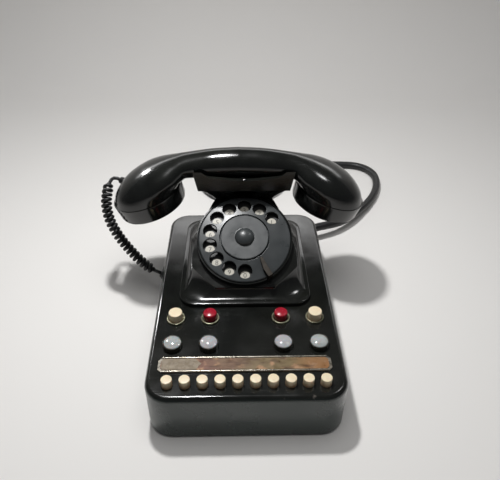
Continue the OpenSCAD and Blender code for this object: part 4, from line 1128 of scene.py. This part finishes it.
def from_tree(name, tree, inputs, values, place):
    """Runs a node tree once and keeps its result as a plain mesh."""
    maker = bpy.data.objects.new(name, bpy.data.meshes.new(name))
    bpy.context.scene.collection.objects.link(maker)
    modifier = maker.modifiers.new("maker", "NODES")
    modifier.node_group = tree
    for key, value in values.items():
        modifier[inputs[key]] = value
    mesh = bpy.data.meshes.new_from_object(maker.evaluated_get(bpy.context.evaluated_depsgraph_get()))
    mesh.transform(place)
    maker.modifiers.remove(modifier)
    maker.data = mesh
    mesh.name = name
    return maker


def metres(place):
    """A placing in millimetres, for a mesh that is already in metres."""
    moved = place.copy()
    moved.translation = place.translation * MM
    return moved


class PHONE_OT_dial_case(bpy.types.Operator):
    """Makes the dial's case and the number plate with its spots and figures"""

    bl_idname = "phone.dial_case"
    bl_label = "Dial case"

    def execute(self, context):
        dial = context.scene.phone_dial
        dress("dial_case", 0.35, 32, 3)
        dress("number_plate", 0.1)
        spot_look = plain("number_spot", tone(176, 172, 160), 0.35, 0, 0.12)
        ink = plain("number_ink", tone(70, 66, 64), 0.4, 0, 0.1)
        spot_height, figure_rise, type_scale, holes = 0.12, 0.03, 1.35, 10
        tree, inputs = ring_tree(spot_look.material)
        frame_of_dial = dial_frame()
        depth = -mm("phone_dial", "plate_depth")
        # Spots and figures sit below their holes' middles, so the dark plate shows in each hole's upper part
        # as painted shade
        at_plate = frame_of_dial @ Matrix.Translation((0, -mm("phone_dial", "spot_drop"), depth))
        spots = from_tree("number_spots", tree, inputs, {
            "Count": holes, "Arc radius": dial.hole_circle / 2, "First angle": dial.first_hole,
            "Step": dial.hole_step, "Disc radius": dial.spot_diameter / 2,
            "Disc height": spot_height * MM}, metres(at_plate))
        placed(spots, "number_plate", spot_look.material)
        radius = mm("phone_dial", "hole_circle") / 2
        for i in range(holes):
            angle = dial.first_hole + i * dial.hole_step
            curve = bpy.data.curves.new(f"figure_{i}", "FONT")
            curve.body = str((i + 1) % holes)
            curve.align_x = "CENTER"
            curve.align_y = "CENTER"
            curve.size = dial.figure_height * type_scale
            curve.extrude = figure_rise * MM
            writer = bpy.data.objects.new("writer", curve)
            context.scene.collection.objects.link(writer)
            mesh = bpy.data.meshes.new_from_object(writer.evaluated_get(context.evaluated_depsgraph_get()))
            bpy.data.objects.remove(writer)
            place = at_plate @ Matrix.Translation((radius * cos(angle), radius * sin(angle),
                                                   spot_height / 2 + figure_rise))
            mesh.transform(metres(place))
            figure = bpy.data.objects.new(f"number_figure_{i}", mesh)
            context.scene.collection.objects.link(figure)
            placed(figure, "number_plate", ink.material)
        return {"FINISHED"}


class PHONE_OT_finger_wheel(bpy.types.Operator):
    """Makes the finger wheel with its centre disc, knob and finger stop"""

    bl_idname = "phone.finger_wheel"
    bl_label = "Finger wheel"

    def execute(self, context):
        dress("finger_wheel", 0.45, 32, 3)
        dress("wheel_centre", 0.2, 32, 2)
        dress("finger_stop", 0.25, 32, 2)
        return {"FINISHED"}


class PHONE_OT_cradle(bpy.types.Operator):
    """Makes the cradle's fork and its stud"""

    bl_idname = "phone.cradle"
    bl_label = "Cradle"

    def execute(self, context):
        dress("cradle_fork", 1.0, 28, 3)
        dress("cradle_stud", 0.3)
        return {"FINISHED"}


class PHONE_OT_handset(bpy.types.Operator):
    """Makes the handset and its two caps"""

    bl_idname = "phone.handset"
    bl_label = "Handset"

    def execute(self, context):
        sizes = Moulding()
        body = lofted("handset_body_form", sizes.handset_rings(steps=10, sides=72))
        bore_radius, bore_start, bore_end = 25.2, -4, 20
        bores = []
        for side in (-1, 1):
            cap = (Matrix.Translation((-sizes.handset_shift + side * sizes.cap_reach, sizes.cradle,
                                       sizes.handle_bottom - sizes.cap_drop))
                   @ Matrix.Rotation(side * (pi + sizes.cap_slope), 4, "Y"))
            bores.append(round_bar(cap, bore_radius, bore_start, bore_end))
        with_tools(body, bores, "DIFFERENCE")
        placed(smooth_form(body), "handset_body", None, ["handset_body"])
        dress("earpiece_cap", 0.45, 32, 3)
        dress("mouthpiece_cap", 0.45, 32, 3)
        return {"FINISHED"}


class PHONE_OT_inner_works(bpy.types.Operator):
    """Gives every CAD part that still shows as it is its finish"""

    bl_idname = "phone.inner_works"
    bl_label = "Inner works"

    def execute(self, context):
        for name, node in NODES.items():
            if not node.hide_render:
                node.data.materials.clear()
                node.data.materials.append(finish_for(SLOT_OF[name]))
        return {"FINISHED"}


def area_light(name, place, aim, size, power, in_gloss=True, in_tone=True):
    """A soft light in metres and watts. Size is a diameter, or a width and a height."""
    data = bpy.data.lights.new(name, "AREA")
    if isinstance(size, tuple):
        data.shape = "RECTANGLE"
        data.size, data.size_y = size
    else:
        data.shape = "DISK"
        data.size = size
    data.energy = power
    light = bpy.data.objects.new(name, data)
    light.location = place
    light.rotation_euler = (Vector(aim) - Vector(place)).to_track_quat("-Z", "Y").to_euler()
    light.visible_glossy = in_gloss
    light.visible_diffuse = in_tone
    bpy.context.scene.collection.objects.link(light)


class PHONE_OT_stage(bpy.types.Operator):
    """Makes the pale floor with its swept-up back, the lights and the world"""

    bl_idname = "phone.stage"
    bl_label = "Stage"

    def execute(self, context):
        half, front, back, bend, top = 2200, -1500, 520, 180, 640
        section = [(front, 0), (back, 0)]
        section += [(back + bend * sin(radians(a)), bend * (1 - cos(radians(a)))) for a in range(10, 91, 10)]
        section.append((back + bend, top))
        points = [(x, y, z) for y, z in section for x in (-half, half)]
        faces = [(2 * i, 2 * i + 1, 2 * i + 3, 2 * i + 2) for i in range(len(section) - 1)]
        sweep = new_piece("stage_sweep", points, faces)
        look = Finish("stage_paper", colour_of("floor"), 0.9)
        look.bump(look.noise(30, 4), 0.05, 0.3)
        sweep.data.materials.append(look.material)
        settings = context.scene.phone_stage
        area_light("key_light", place=(-0.085, 0.085, 0.58), aim=(0, 0.02, 0), size=0.045,
                   power=settings.key_power)
        area_light("ceiling_light", place=(0.1, -0.2, 1.9), aim=(0, 0, 0), size=1.6,
                   power=settings.fill_power, in_gloss=False)
        # These three show only in reflections: two on the handset's heads, one on the box's flat top
        area_light("left_glint", place=(-0.44, 0.47, 0.39), aim=(-0.085, 0.061, 0.127), size=0.07,
                   power=1.2, in_tone=False)
        area_light("right_glint", place=(0.32, 0.12, 0.55), aim=(0.061, 0.051, 0.129), size=0.08,
                   power=0.3, in_tone=False)
        area_light("bright_wall", place=(0, 0.67, 0.44), aim=(0, 0.05, 0.1), size=(1.5, 0.09),
                   power=1.1, in_tone=False)
        world = bpy.data.worlds.new("plain_room")
        world.use_nodes = True
        room = world.node_tree.nodes["Background"]
        room.inputs["Color"].default_value = (0.07, 0.07, 0.073, 1)
        room.inputs["Strength"].default_value = 1
        context.scene.world = world
        context.scene.view_settings.view_transform = "Standard"
        return {"FINISHED"}


STEPS = (
    PHONE_OT_camera, PHONE_OT_handset_cord, PHONE_OT_line_cord, PHONE_OT_base, PHONE_OT_housing,
    PHONE_OT_line_keys, PHONE_OT_call_buttons, PHONE_OT_lamps, PHONE_OT_label, PHONE_OT_dial_case,
    PHONE_OT_finger_wheel, PHONE_OT_cradle, PHONE_OT_handset, PHONE_OT_inner_works, PHONE_OT_stage,
)


class PHONE_PT_steps(bpy.types.Panel):
    """Lists the telephone's pieces"""

    bl_idname = "PHONE_PT_steps"
    bl_label = "Telephone"
    bl_space_type = "VIEW_3D"
    bl_region_type = "UI"
    bl_category = "Telephone"

    def draw(self, context):
        for step in STEPS:
            self.layout.operator(step.bl_idname)
        for group in GROUPS:
            box = self.layout.box()
            for key in getattr(context.scene, group).__annotations__:
                box.prop(getattr(context.scene, group), key)


def register():
    for name, group in GROUPS.items():
        bpy.utils.register_class(group)
        setattr(bpy.types.Scene, name, bpy.props.PointerProperty(type=group))
    for step in (*STEPS, PHONE_PT_steps):
        bpy.utils.register_class(step)


def unregister():
    for step in (*STEPS, PHONE_PT_steps):
        bpy.utils.unregister_class(step)
    for name, group in GROUPS.items():
        delattr(bpy.types.Scene, name)
        bpy.utils.unregister_class(group)


def main():
    register()
    for step in STEPS:
        family, name = step.bl_idname.split(".")
        getattr(getattr(bpy.ops, family), name)()


if __name__ == "__main__":
    main()
